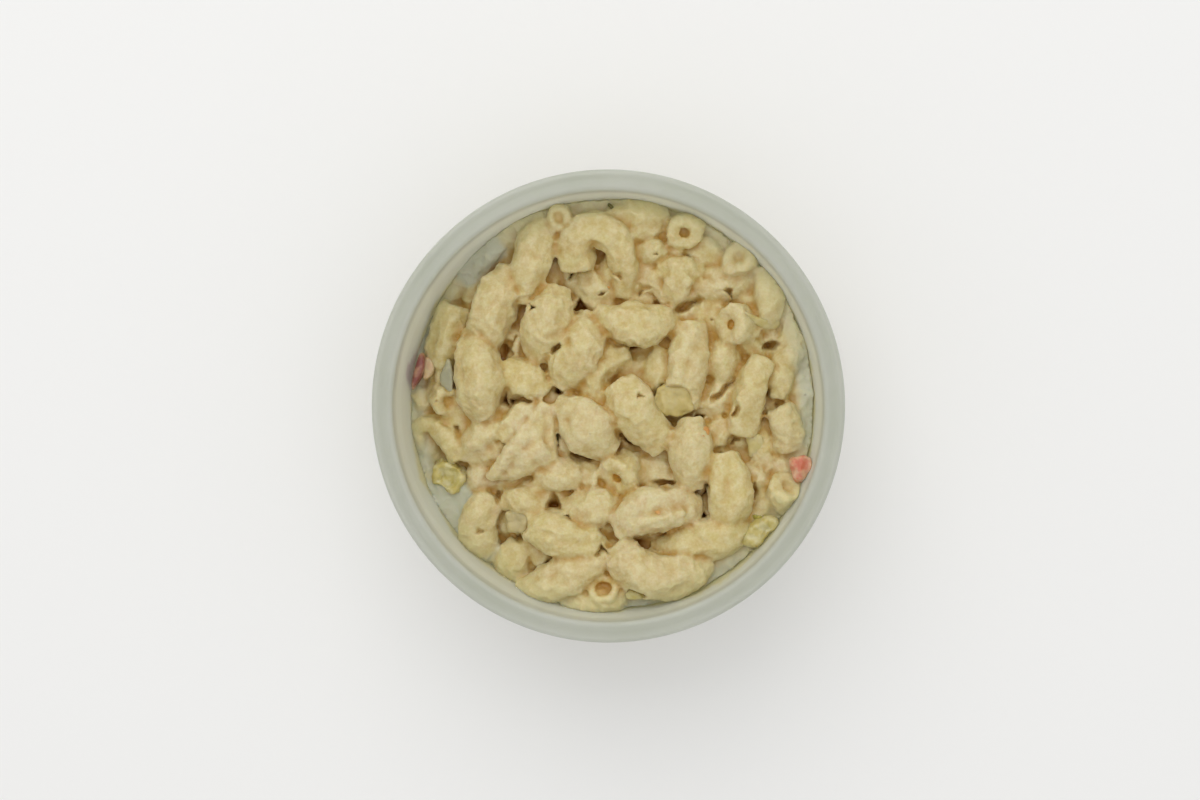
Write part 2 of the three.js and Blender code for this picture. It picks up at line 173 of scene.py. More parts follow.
@dataclass(frozen=True)
class Mound:
    """Levels of the salad's top and the eye that sees it, in millimetres."""

    tub: TubSizes
    crown: float = 45.2
    edge_rise: float = 2.4
    hollow_drop: float = 7.0
    hollow_bearing: float = math.radians(187)
    hollow_within: float = math.radians(40)
    hollow_beyond: float = math.radians(75)
    hollow_start: float = 0.55
    eye: tuple[float, float] = (14.0, 14.0)
    eye_height: float = 410.0

    def level(self, x: Plan, y: Plan) -> Plan:
        """Level that the middles of the elbows lie on."""
        share = np.minimum(np.hypot(x, y) / self.tub.mouth_radius, 1)
        off = np.arctan2(y, x) - self.hollow_bearing
        off = np.arctan2(np.sin(off), np.cos(off))
        facing = 1 - ease(np.abs(off), self.hollow_within, self.hollow_beyond)
        hollow = facing * ease(share, self.hollow_start, 1)
        return self.crown + self.edge_rise * share**3 - self.hollow_drop * hollow

    def reach(self, level: Plan) -> Plan:
        """How much farther from the eye a level is than the rim."""
        return (self.tub.height + self.eye_height - level) / self.eye_height

    def under_sight(self, x: float, y: float, level: float) -> Vector:
        """Point on a level that is seen at a place in plan from the eye."""
        reach = self.reach(level)
        right, far = self.eye
        return Vector((right + (x - right) * reach, far + (y - far) * reach, level))

    def plan_of(self, points: np.ndarray) -> tuple[np.ndarray, np.ndarray]:
        """Where points are seen in plan from the eye."""
        reach = self.reach(points[:, 2])
        return tuple(self.eye[i] + (points[:, i] - self.eye[i]) / reach for i in (0, 1))

    def over(self, points: np.ndarray) -> np.ndarray:
        """How far points lie over the mound's level."""
        return points[:, 2] - self.level(points[:, 0], points[:, 1])


@dataclass
class Shell:
    """Points in millimetres and faces of a closed shape."""

    points: np.ndarray
    faces: list[tuple[int, ...]]

    def moved(self, shift: Vector) -> "Shell":
        """The same shape in another place."""
        return Shell(self.points + np.array(shift), self.faces)


def joined(shells: Sequence[Shell]) -> Shell:
    """Several shapes as one list of points and faces."""
    faces: list[tuple[int, ...]] = []
    count = 0
    for shell in shells:
        faces.extend(tuple(index + count for index in face) for face in shell.faces)
        count += len(shell.points)
    return Shell(np.vstack([shell.points for shell in shells]), faces)


def skin_of_rings(rings: Sequence[np.ndarray]) -> Shell:
    """Closed skin over rings of equal count, the first and last of which are single points repeated.

    Args:
        rings: Arrays of points, each ring in the same order.

    Returns:
        The closed shape, with one point at each end.
    """
    count = len(rings[0])
    last = 1 + (len(rings) - 3) * count
    after = [(i + 1) % count for i in range(count)]
    faces: list[tuple[int, ...]] = [(0, 1 + after[i], 1 + i) for i in range(count)]
    for here in range(1, last, count):
        above = here + count
        faces.extend((here + i, here + after[i], above + after[i], above + i) for i in range(count))
    faces.extend((last + i, last + after[i], last + count) for i in range(count))
    return Shell(np.vstack([rings[0][:1], *rings[1:-1], rings[-1][:1]]), faces)


def arc_points(radius: float, level: float, size: float, start: float, end: float,
               count: int) -> list[tuple[float, float]]:
    """Points of a section on a part of a circle, its bearings in degrees."""
    angles = np.radians(np.linspace(start, end, count + 1))
    return [(radius + size * math.cos(a), level + size * math.sin(a)) for a in angles]


class MeshPiece:
    """A visible piece: its mesh object, and what it says to the frame."""

    def __init__(self, name: str, shell: Shell, smooth: bool = True) -> None:
        """Makes the object from a shape in millimetres.

        Args:
            name: The piece's name.
            shell: Its points and faces.
            smooth: Whether its faces are shaded smooth.
        """
        mesh = bpy.data.meshes.new(name)
        mesh.from_pydata((shell.points * MM).tolist(), [], shell.faces)
        mesh.validate()
        mesh.update()
        self.object = bpy.data.objects.new(name, mesh)
        bpy.context.scene.collection.objects.link(self.object)
        self.smooth(smooth)

    def smooth(self, on: bool) -> None:
        """Shades the faces smooth or flat."""
        mesh = self.object.data
        mesh.polygons.foreach_set("use_smooth", [on] * len(mesh.polygons))

    def modify(self, name: str, kind: str, **settings: object) -> None:
        """Replaces the mesh by what a modifier makes of it.

        Args:
            name: The modifier's name.
            kind: Its type.
            settings: Its properties.
        """
        modifier = self.object.modifiers.new(name, kind)
        for key, value in settings.items():
            setattr(modifier, key, value)
        graph = bpy.context.evaluated_depsgraph_get()
        graph.update()
        made = bpy.data.meshes.new_from_object(self.object.evaluated_get(graph))
        self.object.modifiers.clear()
        old = self.object.data
        self.object.data = made
        made.name = old.name + "_made"
        bpy.data.meshes.remove(old)

    def remesh(self, voxel: float) -> None:
        """Fuses everything in the mesh into one skin of small quads, of a size in millimetres."""
        self.modify("fuse", "REMESH", mode="VOXEL", voxel_size=voxel * MM, adaptivity=0.0,
                    use_smooth_shade=True)

    def thin_out(self, triangles: int) -> None:
        """Reduces the mesh to about a number of triangles, least where it is flat."""
        mesh = self.object.data
        mesh.calc_loop_triangles()
        count = len(mesh.loop_triangles)
        if count > triangles:
            self.modify("thin", "DECIMATE", ratio=triangles / count)
            self.smooth(True)

    @staticmethod
    def _read(things: object, name: str, width: int, kind: type = np.float32) -> np.ndarray:
        """A property of all points, normals or edges, one row each."""
        flat = np.empty(len(things) * width, kind)
        things.foreach_get(name, flat)
        return flat.reshape(-1, width)

    @property
    def points(self) -> np.ndarray:
        """The mesh's points, in millimetres."""
        return self._read(self.object.data.vertices, "co", 3).astype(float) / MM

    @points.setter
    def points(self, values: np.ndarray) -> None:
        """Moves the mesh's points."""
        self.object.data.vertices.foreach_set("co", (values * MM).astype(np.float32).ravel())
        self.object.data.update()

    @property
    def normals(self) -> np.ndarray:
        """The mesh's normal at each point."""
        return self._read(self.object.data.vertex_normals, "vector", 3).astype(float)

    def averaged(self, values: np.ndarray, times: int, share: float = 1.0) -> np.ndarray:
        """Values at the points, each moved towards the average of its neighbours'.

        Args:
            values: One row for each point.
            times: How many times.
            share: How far each time, from 0 to 1.

        Returns:
            The averaged values.
        """
        pairs = self._read(self.object.data.edges, "vertices", 2, np.int32)
        count = len(values)
        first = np.concatenate([pairs[:, 0], pairs[:, 1]])
        second = np.concatenate([pairs[:, 1], pairs[:, 0]])
        degree = np.maximum(np.bincount(first, minlength=count), 1)
        table = np.asarray(values, float).reshape(count, -1).copy()
        for _ in range(times):
            for column in range(table.shape[1]):
                total = np.bincount(first, weights=table[second, column], minlength=count)
                table[:, column] += share * (total / degree - table[:, column])
        return table.reshape(np.shape(values))

    def settle(self, times: int, share: float) -> None:
        """Moves the points towards the averages of their neighbours."""
        self.points = self.averaged(self.points, times, share)

    def hollowness(self, points: np.ndarray, times: int) -> np.ndarray:
        """How far the average of a neighbourhood stands out from each point, along its normal."""
        return np.einsum("ij,ij->i", self.averaged(points, times) - points, self.normals)

    def keep(self, **layers: np.ndarray) -> None:
        """Stores one number for each point under each name, for the material to read."""
        for name, values in layers.items():
            layer = self.object.data.attributes.new(name, "FLOAT", "POINT")
            layer.data.foreach_set("value", np.asarray(values, np.float32).ravel())

    def dress(self, material: bpy.types.Material) -> None:
        """Gives the whole piece one material."""
        self.object.data.materials.clear()
        self.object.data.materials.append(material)

    def join_frame(self, slot: str, *nodes: str) -> None:
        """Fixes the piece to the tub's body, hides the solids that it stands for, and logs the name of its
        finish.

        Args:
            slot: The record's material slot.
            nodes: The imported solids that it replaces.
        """
        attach(self.object, BODY)
        if nodes:
            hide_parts(*nodes)
        LOG.info("%s: %d faces, %s", self.object.name, len(self.object.data.polygons), slot)


class NodeBench:
    """Makes nodes in one tree and links them, for a material or a group."""

    def __init__(self, tree: bpy.types.NodeTree) -> None:
        """Keeps the tree that is worked on."""
        self.tree = tree

    def feed(self, socket: bpy.types.NodeSocket, value: object) -> None:
        """Links a socket to another, or sets its value."""
        if isinstance(value, bpy.types.NodeSocket):
            self.tree.links.new(value, socket)
        elif isinstance(value, tuple) and len(value) == 3 and len(socket.default_value) == 4:
            socket.default_value = (*value, 1.0)
        else:
            socket.default_value = value

    def fill(self, node: bpy.types.Node, values: dict[str, object]) -> bpy.types.Node:
        """Feeds a node's inputs, named with underscores for spaces."""
        for key, value in values.items():
            self.feed(node.inputs[key.replace("_", " ")], value)
        return node

    def make(self, kind: str, **values: object) -> bpy.types.Node:
        """Makes a node of a type and feeds its inputs."""
        return self.fill(self.tree.nodes.new(kind), values)

    def maths(self, operation: str, *values: object, clamp: bool = False) -> bpy.types.NodeSocket:
        """One step of arithmetic on numbers or sockets."""
        node = self.tree.nodes.new("ShaderNodeMath")
        node.operation = operation
        node.use_clamp = clamp
        for socket, value in zip(node.inputs, values):
            self.feed(socket, value)
        return node.outputs[0]

    def blend(self, share: object, first: object, second: object) -> bpy.types.NodeSocket:
        """Mix of two colours."""
        node = self.tree.nodes.new("ShaderNodeMix")
        node.data_type = "RGBA"
        for place, value in zip((0, 6, 7), (share, first, second)):
            self.feed(node.inputs[place], value)
        return node.outputs[2]

    def span(self, value: object, low: object, high: object, to_low: float,
             to_high: float) -> bpy.types.NodeSocket:
        """A number moved smoothly from one range to another."""
        node = self.tree.nodes.new("ShaderNodeMapRange")
        node.interpolation_type = "SMOOTHSTEP"
        for socket, number in zip(node.inputs, (value, low, high, to_low, to_high)):
            self.feed(socket, number)
        return node.outputs[0]

    def noise(self, per_mm: bpy.types.NodeSocket, detail: float,
              roughness: float = 0.5) -> bpy.types.NodeSocket:
        """Noise over the piece's own space, of a number of patches for each millimetre."""
        place = self.make("ShaderNodeTexCoord").outputs["Object"]
        return self.make("ShaderNodeTexNoise", Vector=place, Scale=self.maths("MULTIPLY", per_mm, 1 / MM),
                         Detail=detail, Roughness=roughness).outputs[0]


class Groups:
    """The shader groups that several finishes share, each made once."""

    def __init__(self) -> None:
        """Makes the groups."""
        self.mottle = self._mottle()
        self.relief = self._relief()
        self.shade_and_smear = self._shade_and_smear()

    @staticmethod
    def _start(name: str, inputs: dict[str, object],
               outputs: dict[str, str]) -> tuple[NodeBench, dict[str, bpy.types.NodeSocket], bpy.types.Node]:
        """Makes an empty group with named sockets.

        Args:
            name: The group's name.
            inputs: First value of each input: four numbers for a colour, else one.
            outputs: Socket type of each output.

        Returns:
            The group's bench, its inputs' sockets by name and its output node.
        """
        tree = bpy.data.node_groups.new(name, "ShaderNodeTree")
        for label, value in inputs.items():
            kind = "NodeSocketColor" if isinstance(value, tuple) else "NodeSocketFloat"
            tree.interface.new_socket(label, in_out="INPUT", socket_type=kind).default_value = value
        for label, kind in outputs.items():
            tree.interface.new_socket(label, in_out="OUTPUT", socket_type=kind)
        given = tree.nodes.new("NodeGroupInput").outputs
        return NodeBench(tree), {socket.name: socket for socket in given}, tree.nodes.new("NodeGroupOutput")

    def _mottle(self) -> bpy.types.NodeTree:
        """Colour that drifts between two tones in soft patches of a stated size."""
        bench, given, sink = self._start(
            "soft_mottle",
            {"Tone A": (0.6, 0.5, 0.3, 1), "Tone B": (0.7, 0.6, 0.4, 1), "Patch per mm": 0.3,
             "Sharpness": 0.2},
            {"Colour": "NodeSocketColor", "Mask": "NodeSocketFloat"})
        cloud = bench.noise(given["Patch per mm"], 3.0, 0.55)
        low = bench.maths("SUBTRACT", 0.5, given["Sharpness"])
        high = bench.maths("ADD", 0.5, given["Sharpness"])
        mask = bench.span(cloud, low, high, 0.0, 1.0)
        bench.fill(sink, {"Colour": bench.blend(mask, given["Tone A"], given["Tone B"]), "Mask": mask})
        return bench.tree

    def _relief(self) -> bpy.types.NodeTree:
        """Height of a fine uneven surface: soft lumps with a finer grain on them."""
        bench, given, sink = self._start(
            "fine_relief", {"Lumps per mm": 0.8, "Grain per mm": 3.0, "Grain share": 0.3},
            {"Height": "NodeSocketFloat"})
        fine = bench.maths("MULTIPLY", bench.noise(given["Grain per mm"], 1.0), given["Grain share"])
        bench.fill(sink, {"Height": bench.maths("ADD", bench.noise(given["Lumps per mm"], 2.0), fine)})
        return bench.tree

    def _shade_and_smear(self) -> bpy.types.NodeTree:
        """Two colours laid over a base by two masks: painted shade in the food's gaps and creases, warm as
        light that has passed through the food, and the dressing smears and stains on the tub.
        """
        bench, given, sink = self._start(
            "shade_and_smear_tint",
            {"Colour": (0.6, 0.5, 0.3, 1), "Crease colour": (0.5, 0.3, 0.1, 1),
             "Deep colour": (0.2, 0.1, 0.02, 1), "Crease": 0.0, "Depth": 0.0},
            {"Colour": "NodeSocketColor"})
        creased = bench.blend(given["Crease"], given["Colour"], given["Crease colour"])
        bench.fill(sink, {"Colour": bench.blend(given["Depth"], creased, given["Deep colour"])})
        return bench.tree


class Finish:
    """A material in the making: its bench, its Principled shader and the groups in it."""

    def __init__(self, name: str, groups: Groups) -> None:
        """Makes the material with a bare shader.

        Args:
            name: The material's name.
            groups: The shared groups.
        """
        self.material = bpy.data.materials.new(name)
        self.material.use_nodes = True
        self.bench = NodeBench(self.material.node_tree)
        self.shader = self.material.node_tree.nodes["Principled BSDF"]
        self.groups = groups

    def set(self, **values: object) -> None:
        """Feeds the shader's sockets."""
        self.bench.fill(self.shader, values)

    def group(self, tree: bpy.types.NodeTree, **values: object) -> bpy.types.Node:
        """Places a group and feeds its inputs."""
        node = self.bench.tree.nodes.new("ShaderNodeGroup")
        node.node_tree = tree
        return self.bench.fill(node, values)

    def mottled(self, tone_a: Colour, tone_b: Colour, patch: float, sharpness: float) -> bpy.types.Node:
        """Two tones in soft patches, so many for each millimetre."""
        return self.group(self.groups.mottle, Tone_A=tone_a, Tone_B=tone_b, Patch_per_mm=patch,
                          Sharpness=sharpness)

    def attribute(self, name: str, strength: float = 1.0) -> bpy.types.NodeSocket:
        """The number that the mesh keeps under a name, weakened to a strength."""
        node = self.bench.make("ShaderNodeAttribute")
        node.attribute_name = name
        value = node.outputs["Fac"]
        return value if strength == 1 else self.bench.maths("MULTIPLY", value, strength)

    def bump(self, depth: float, lumps: float, grain: float, share: float) -> None:
        """Gives the surface fine relief.

        Args:
            depth: Its depth, in millimetres.
            lumps: Soft lumps for each millimetre.
            grain: Finer grains for each millimetre.
            share: How much of the height is grain.
        """
        relief = self.group(self.groups.relief, Lumps_per_mm=lumps, Grain_per_mm=grain, Grain_share=share)
        height = relief.outputs["Height"]
        node = self.bench.make("ShaderNodeBump", Strength=1.0, Distance=depth * MM, Height=height)
        self.set(Normal=node.outputs[0])


@dataclass(frozen=True)
class DressedPasta:
    """Cooked elbow pasta under a coat of creamy dressing, with painted shade, painted highlights and painted
    light on it.
    """

    pasta: Colour = srgb(201, 184, 118)
    pasta_deep: Colour = srgb(190, 164, 92)
    cream: Colour = srgb(208, 197, 152)
    cream_warm: Colour = srgb(200, 174, 128)
    fleck: Colour = srgb(218, 209, 166)
    yellow: Colour = srgb(200, 181, 100)
    blush: Colour = srgb(206, 188, 146)
    # Painted shade: warm darker colours for creases, low valleys and deep gaps, and for hollow ends the
    # pasta's own yellower inside with painted shade on it.
    crease: Colour = srgb(178, 132, 46)
    sunk: Colour = srgb(192, 154, 84)
    deep: Colour = srgb(140, 88, 14)
    bore: Colour = srgb(212, 166, 72)
    # Painted light beside the wall: a pale grey for thin dressing, lit like the plastic behind it, and a pale
    # cream for the food's edge.
    mist: Colour = srgb(199, 199, 176)
    haze: Colour = srgb(224, 216, 164)
    scatter: tuple[float, float, float] = (1.0, 0.62, 0.28)
    scatter_depth: float = 1.6
    cream_share: float = 0.35
    tone_share: float = 0.4
    fleck_share: float = 0.3
    ridge_share: float = 0.4
    grain_share: float = 0.18
    crease_share: float = 0.85
    bore_share: float = 0.95
    sunk_share: float = 0.5
    haze_share: float = 0.45

    def made(self, groups: Groups) -> bpy.types.Material:
        """Builds the material."""
        finish = Finish("dressed_pasta", groups)
        bench = finish.bench
        pasta = finish.mottled(self.pasta, self.pasta_deep, 0.2, 0.14)
        cream = finish.mottled(self.cream, self.cream_warm, 0.36, 0.13)
        flecks = finish.mottled(self.fleck, self.fleck, 0.6, 0.14)
        grain = finish.mottled(self.fleck, self.pasta_deep, 1.5, 0.14)
        creamy = cream.outputs["Mask"]
        coat = bench.maths("ADD", bench.maths("MULTIPLY", creamy, self.cream_share),
                           bench.span(finish.attribute("coat"), 0.0, 1.0, 0.15, 0.8), clamp=True)
        colour = bench.blend(coat, pasta.outputs["Colour"], cream.outputs["Colour"])
        tone = finish.attribute("tone")
        toned = bench.blend(bench.span(tone, -0.2, 0.2, 0.0, 1.0), self.yellow, self.blush)
        strength = bench.maths("MULTIPLY", bench.maths("ABSOLUTE", tone), self.tone_share)
        colour = bench.blend(strength, colour, toned)
        # Pale flecks of dressing, and a painted highlight along convex ridges.
        pale = bench.maths("ADD", bench.maths("MULTIPLY", flecks.outputs["Mask"], self.fleck_share),
                           finish.attribute("ridge", self.ridge_share), clamp=True)
        colour = bench.blend(self.grain_share, bench.blend(pale, colour, self.fleck), grain.outputs["Colour"])
        # Painted shade in the creases, and in hollow ends the yellower inside with painted shade.
        creased = finish.group(groups.shade_and_smear, Colour=colour, Crease_colour=self.crease,
                               Deep_colour=self.bore, Crease=finish.attribute("crease", self.crease_share),
                               Depth=finish.attribute("bore", self.bore_share))
        # Painted shade: darker in low valleys, darkest in deep gaps and wide pits.
        tinted = finish.group(groups.shade_and_smear, Colour=creased.outputs["Colour"], Crease_colour=self.sunk,
                              Deep_colour=self.deep, Crease=finish.attribute("sunk", self.sunk_share),
                              Depth=finish.attribute("depth"))
        # Painted light: the food's edge by the wall is lightened to pale cream, and low spots there to the
        # pale grey of the lit plastic.
        wall_glowed = bench.blend(finish.attribute("haze", self.haze_share), tinted.outputs["Colour"], self.haze)
        finish.set(Base_Color=bench.blend(finish.attribute("mist"), wall_glowed, self.mist),
                   Roughness=bench.span(creamy, 0, 1, 0.5, 0.38), IOR=1.42, Subsurface_Weight=0.35,
                   Subsurface_Radius=self.scatter, Subsurface_Scale=self.scatter_depth * MM,
                   Coat_Weight=0.1, Coat_Roughness=0.35)
        finish.bump(0.15, lumps=0.7, grain=2.0, share=0.3)
        return finish.material


@dataclass(frozen=True)
class FrostedPlastic:
    """Thin translucent polypropylene with a faint frost, smeared with dressing over the salad, and painted
    light on the inner wall.
    """

    body: Colour = srgb(201, 203, 192)
    shade: Colour = srgb(195, 198, 185)
    lit_wall: Colour = srgb(240, 240, 219)
    filled: Colour = srgb(214, 200, 150)
    smear: Colour = srgb(222, 208, 150)
    stain: Colour = srgb(168, 128, 150)

    def made(self, groups: Groups) -> bpy.types.Material:
        """Builds the material."""
        finish = Finish("frosted_plastic", groups)
        frost = finish.mottled(self.body, self.shade, 0.05, 0.3)
        # Painted light on the inner wall, as if lit through the plastic from outside.
        wall = finish.bench.blend(finish.attribute("inside"), frost.outputs["Colour"], self.lit_wall)
        wall = finish.bench.blend(finish.attribute("filled"), wall, self.filled)
        marked = finish.group(groups.shade_and_smear, Colour=wall, Crease_colour=self.smear, Deep_colour=self.stain,
                              Crease=finish.attribute("smear"), Depth=finish.attribute("stain"))
        finish.set(Base_Color=marked.outputs["Colour"], Roughness=0.42, IOR=1.49, Transmission_Weight=0.3,
                   Specular_IOR_Level=0.4, Subsurface_Weight=0.8, Subsurface_Radius=(1.0, 1.0, 0.9),
                   Subsurface_Scale=5 * MM)
        finish.bump(0.08, lumps=0.12, grain=2.5, share=0.12)
        return finish.material


@dataclass(frozen=True)
class MoistFlesh:
    """Raw vegetable, wet and a little clear, with paler strands."""

    name: str
    flesh: Colour
    strand: Colour
    patch: float = 0.35

    def made(self, groups: Groups) -> bpy.types.Material:
        """Builds the material."""
        finish = Finish(self.name, groups)
        tone = finish.mottled(self.flesh, self.strand, self.patch, 0.12)
        finish.set(Base_Color=tone.outputs["Colour"], Roughness=0.3, IOR=1.38, Subsurface_Weight=0.5,
                   Subsurface_Radius=(1.0, 0.8, 0.4), Subsurface_Scale=1.5 * MM, Coat_Weight=0.3,
                   Coat_Roughness=0.15)
        finish.bump(0.18, lumps=0.7, grain=3.0, share=0.4)
        return finish.material


@dataclass(frozen=True)
class PaleSheet:
    """The plain pale surface that the tub stands on."""

    paint: Colour = srgb(242, 242, 241)

    def made(self, groups: Groups) -> bpy.types.Material:
        """Builds the material."""
        finish = Finish("pale_sheet", groups)
        tone = finish.mottled(self.paint, self.paint, 0.01, 0.4)
        finish.set(Base_Color=tone.outputs["Colour"], Roughness=0.8)
        return finish.material


@dataclass(frozen=True)
class Elbow:
    """One elbow that shows: stations along its middle, each a place in plan, a width and a lift.

    They are in millimetres. The width is the one seen from above. The lift is over the level that the elbows'
    middles lie on. The tail is the first station and the head the last.
    """

    route: tuple[tuple[float, float, float, float], ...]
    head: End = End.CAPPED
    tail: End = End.CAPPED
    flat: float = 0.08
    fold: float = 0.35
    bore: float = 1.6

    def sampled(self, step: float) -> np.ndarray:
        """Rows of place, width and lift at even steps on a smooth curve through the stations."""
        rows = np.array(self.route, float)
        knots = np.vstack([2 * rows[0] - rows[1], rows, 2 * rows[-1] - rows[-2]])
        samples = []
        for i in range(1, len(knots) - 2):
            four = knots[i - 1:i + 3]
            count = max(2, int(math.dist(four[1][[0, 1, 3]], four[2][[0, 1, 3]]) / step))
            samples.extend(spline(*four, t) for t in np.arange(count) / count)
        return np.array([*samples, rows[-1]])


def seen_from_above() -> list[Elbow]:
    """The elbows that show on top, far side first."""
    filled, opened = End.FILLED, End.OPEN
    far = [
        Elbow(((-11.8, 46.6, 6.2, 3), (-9.4, 47.2, 6, -2), (-2.2, 48.3, 5.5, -2.5), (2.7, 48.5, 4.5, -3)),
               tail=filled, bore=1.5),
        Elbow(((-23.4, 43.1, 6.4, -1.5), (-25.1, 38.7, 6, -2), (-24.9, 33.7, 5, -3))),
        Elbow(((-16.3, 45.6, 7.4, -1), (-17.5, 40.6, 9.4, 1.5), (-19, 34.2, 9.4, 2),
               (-20.4, 27.3, 7.4, 0.5))),
        Elbow(((-7.1, 34.7, 8.9, 1), (-7.6, 39.7, 8.6, 2), (-4.2, 44.1, 8.4, 2.5), (1.7, 41.6, 8.4, 2.5),
               (4.4, 35, 7.9, 1.5), (4.7, 28.3, 6, -0.5)), tail=filled, fold=0),
        Elbow(((-1.7, 45.6, 4, 0), (3.7, 47, 6.4, 1), (9, 47.2, 7.4, 1.5), (13.3, 47.2, 6.4, 0))),
        Elbow(((2.7, 42.1, 4.9, 0), (8.1, 44.1, 6.9, 1), (12.1, 44.1, 5.4, 0.5))),
        Elbow(((8.1, 38.2, 6, 0), (11.8, 38.7, 6.4, 1.5), (14, 37.7, 4.5, 0))),
        Elbow(((18.5, 45.6, 7.4, -7), (18.7, 44.1, 8.4, -2), (19, 42.9, 8.9, 3.4)), head=opened, bore=1.35,
               fold=0),
        Elbow(((25.9, 44.1, 5.4, -2), (25.6, 39.9, 6, -1), (25.1, 35.7, 5.4, -2))),
        Elbow(((36.2, 32.3, 6.9, -6), (34.2, 34.7, 7.9, -2), (32.3, 36.7, 8.4, 2.6)), head=filled, bore=1.5,
               fold=0),
        Elbow(((38.2, 33.2, 6, 0), (39.7, 28.8, 8.4, 0.5), (39.2, 23.4, 8.4, 0), (38.2, 20, 6.4, -1.5))),
        Elbow(((13.5, 34.2, 4.9, 1), (18, 33.7, 6.4, 2), (22.2, 33.2, 4.9, 1))),
        Elbow(((18.5, 32.3, 6.4, 2), (16.5, 28.3, 6.4, 1), (15.8, 24.9, 4, 0))),
        Elbow(((8.1, 34.2, 5.4, -0.5), (11.6, 31.8, 6.4, 0), (14, 28.3, 5.4, -0.5))),
        Elbow(((21.4, 31.3, 6, -0.5), (26.8, 30.3, 8.4, 0), (33.2, 31.3, 6.9, -1))),
        Elbow(((-8.1, 29.3, 6.4, -4), (-4.7, 30, 7.4, -3.5), (-1.2, 30.8, 6, -4))),
        Elbow(((20, 21.9, 4.5, -3), (23.4, 23.2, 4.9, -2.5), (26.8, 24.9, 4, -3))),
    ]
    left_side = [
        Elbow(((-41.5, 25.5, 4.5, -2), (-38.2, 28.8, 4.9, -2.5), (-32.8, 31.3, 4, -3))),
        Elbow(((-23.4, 32.3, 8.4, 1), (-26.4, 27.3, 11.8, 2), (-28.8, 21.4, 10.8, 2), (-30.3, 16, 7.9, 0))),
        Elbow(((-37.2, 24.4, 7.4, 1.5), (-38.9, 19.5, 8.9, 1), (-40.4, 13.5, 7.9, 0),
               (-40.6, 9.1, 5.4, -1.5)), tail=filled),
        Elbow(((-31.8, 17, 8.9, 0.5), (-32, 11.1, 12.3, 2.5), (-31.3, 4.2, 12.3, 2.5),
               (-29.8, -1.7, 8.4, 0))),
        Elbow(((-44.1, 3.7, 6.4, -5), (-41.1, 3, 7.4, -1.5), (-39.2, 1.2, 8.4, 2)), head=filled, bore=1.7,
               fold=0),
        Elbow(((-47, 3.7, 4.9, -1), (-44.8, 1.2, 6, -0.5), (-45.1, -1.2, 4.5, -2))),
        Elbow(((-46, -9.4, 4.5, -1), (-45.8, -5.2, 5.4, 0), (-42.9, -4.2, 5.4, 0.5), (-39.2, -7.6, 6.4, 0.5),
               (-36.5, -11.8, 6.4, 0))),
        Elbow(((-35.5, -11.1, 6, 0), (-31.8, -8.1, 7.9, 0.5), (-27.6, -4.2, 7.4, 0.5),
               (-24.4, -0.7, 5.4, -1))),
        Elbow(((-33.3, -12.6, 4, 0), (-28.8, -11.1, 4.9, 0.5), (-25.6, -8.1, 4.5, 0))),
        Elbow(((-25.1, -8.1, 6, 1.5), (-22.9, -4.7, 7.4, 1.5), (-19.5, -1.2, 8.4, 1), (-17, 0.7, 6, 0)),
               tail=filled, bore=1.8),
        Elbow(((-27.3, -16.5, 4, 1.5), (-21.9, -13.1, 8.9, 1.5), (-17, -9.6, 11.8, 1.5)), fold=0, flat=0.25),
        Elbow(((-28.8, -17.5, 3, 2), (-22.4, -9.6, 3.4, 4), (-15.3, 0.5, 3, 3)), fold=0),
        Elbow(((-21.5, -11.5, 6, 2.2), (-18, -7, 6.5, 2.8), (-15.9, -3, 4, 2.8)), fold=0, flat=0.2),
        Elbow(((-14.8, 0.2, 3, 3), (-13.8, -12.6, 3.4, 2.4)), fold=0),
        Elbow(((-24.4, 8.6, 7.4, 0.5), (-20.2, 6.4, 9.4, 1.5), (-16.3, 3.7, 6.4, 1))),
        Elbow(((-12.8, 28.3, 7.4, 1), (-14, 23.4, 11.3, 2.5), (-15.3, 18.5, 11.8, 2.5),
               (-17, 13.5, 7.4, 0.5))),
    ]
    middle = [
        Elbow(((-4.2, 20.9, 7.9, 1), (-5.9, 17, 11.8, 2.5), (-8.4, 11.6, 11.8, 2), (-10.8, 6.7, 8.4, 0.5))),
        Elbow(((3.7, 13.5, 7.4, 0), (-1, 11.1, 8.4, 1), (-3, 6.2, 8.9, 1), (-1.2, -0.2, 7.9, 0),
               (1.2, -5.7, 6.4, -1))),
        Elbow(((3.2, 4.7, 8.4, 3), (5.7, 1.2, 10.8, 3.5), (8.9, -3.7, 10.3, 3), (13.1, -8.1, 7.4, 1))),
        Elbow(((-12.1, 1.2, 3.4, 2.5), (-8.6, -1.2, 9.4, 3), (-4.2, -5.7, 12.3, 3), (0.2, -9.9, 7.9, 1.5))),
        Elbow(((-2.5, 23.9, 3.4, 3), (2, 21.4, 8.4, 3.2), (8.1, 20.4, 10.8, 3.5), (13.5, 20.9, 8.4, 2.5),
               (17, 21.9, 4, 1))),
        Elbow(((13.5, 13.5, 6, 0), (11.8, 8.6, 7.4, 0.5), (9.4, 3.2, 6.4, -0.5))),
        Elbow(((20.4, 19.5, 7.4, 1.5), (20.2, 14, 8.9, 2.5), (19.5, 7.9, 9.4, 2.5), (18.5, 1.7, 8.4, 1))),
        Elbow(((29.3, 14.5, 7.4, 0), (28.4, 11.2, 7.9, 0.5), (27.6, 8.4, 6.4, 0))),
        Elbow(((38.2, 20.9, 6.4, -2), (34, 20.7, 9.2, 0), (30.5, 20.3, 10.2, 3.4)), head=opened, bore=1.1,
               fold=0),
    ]
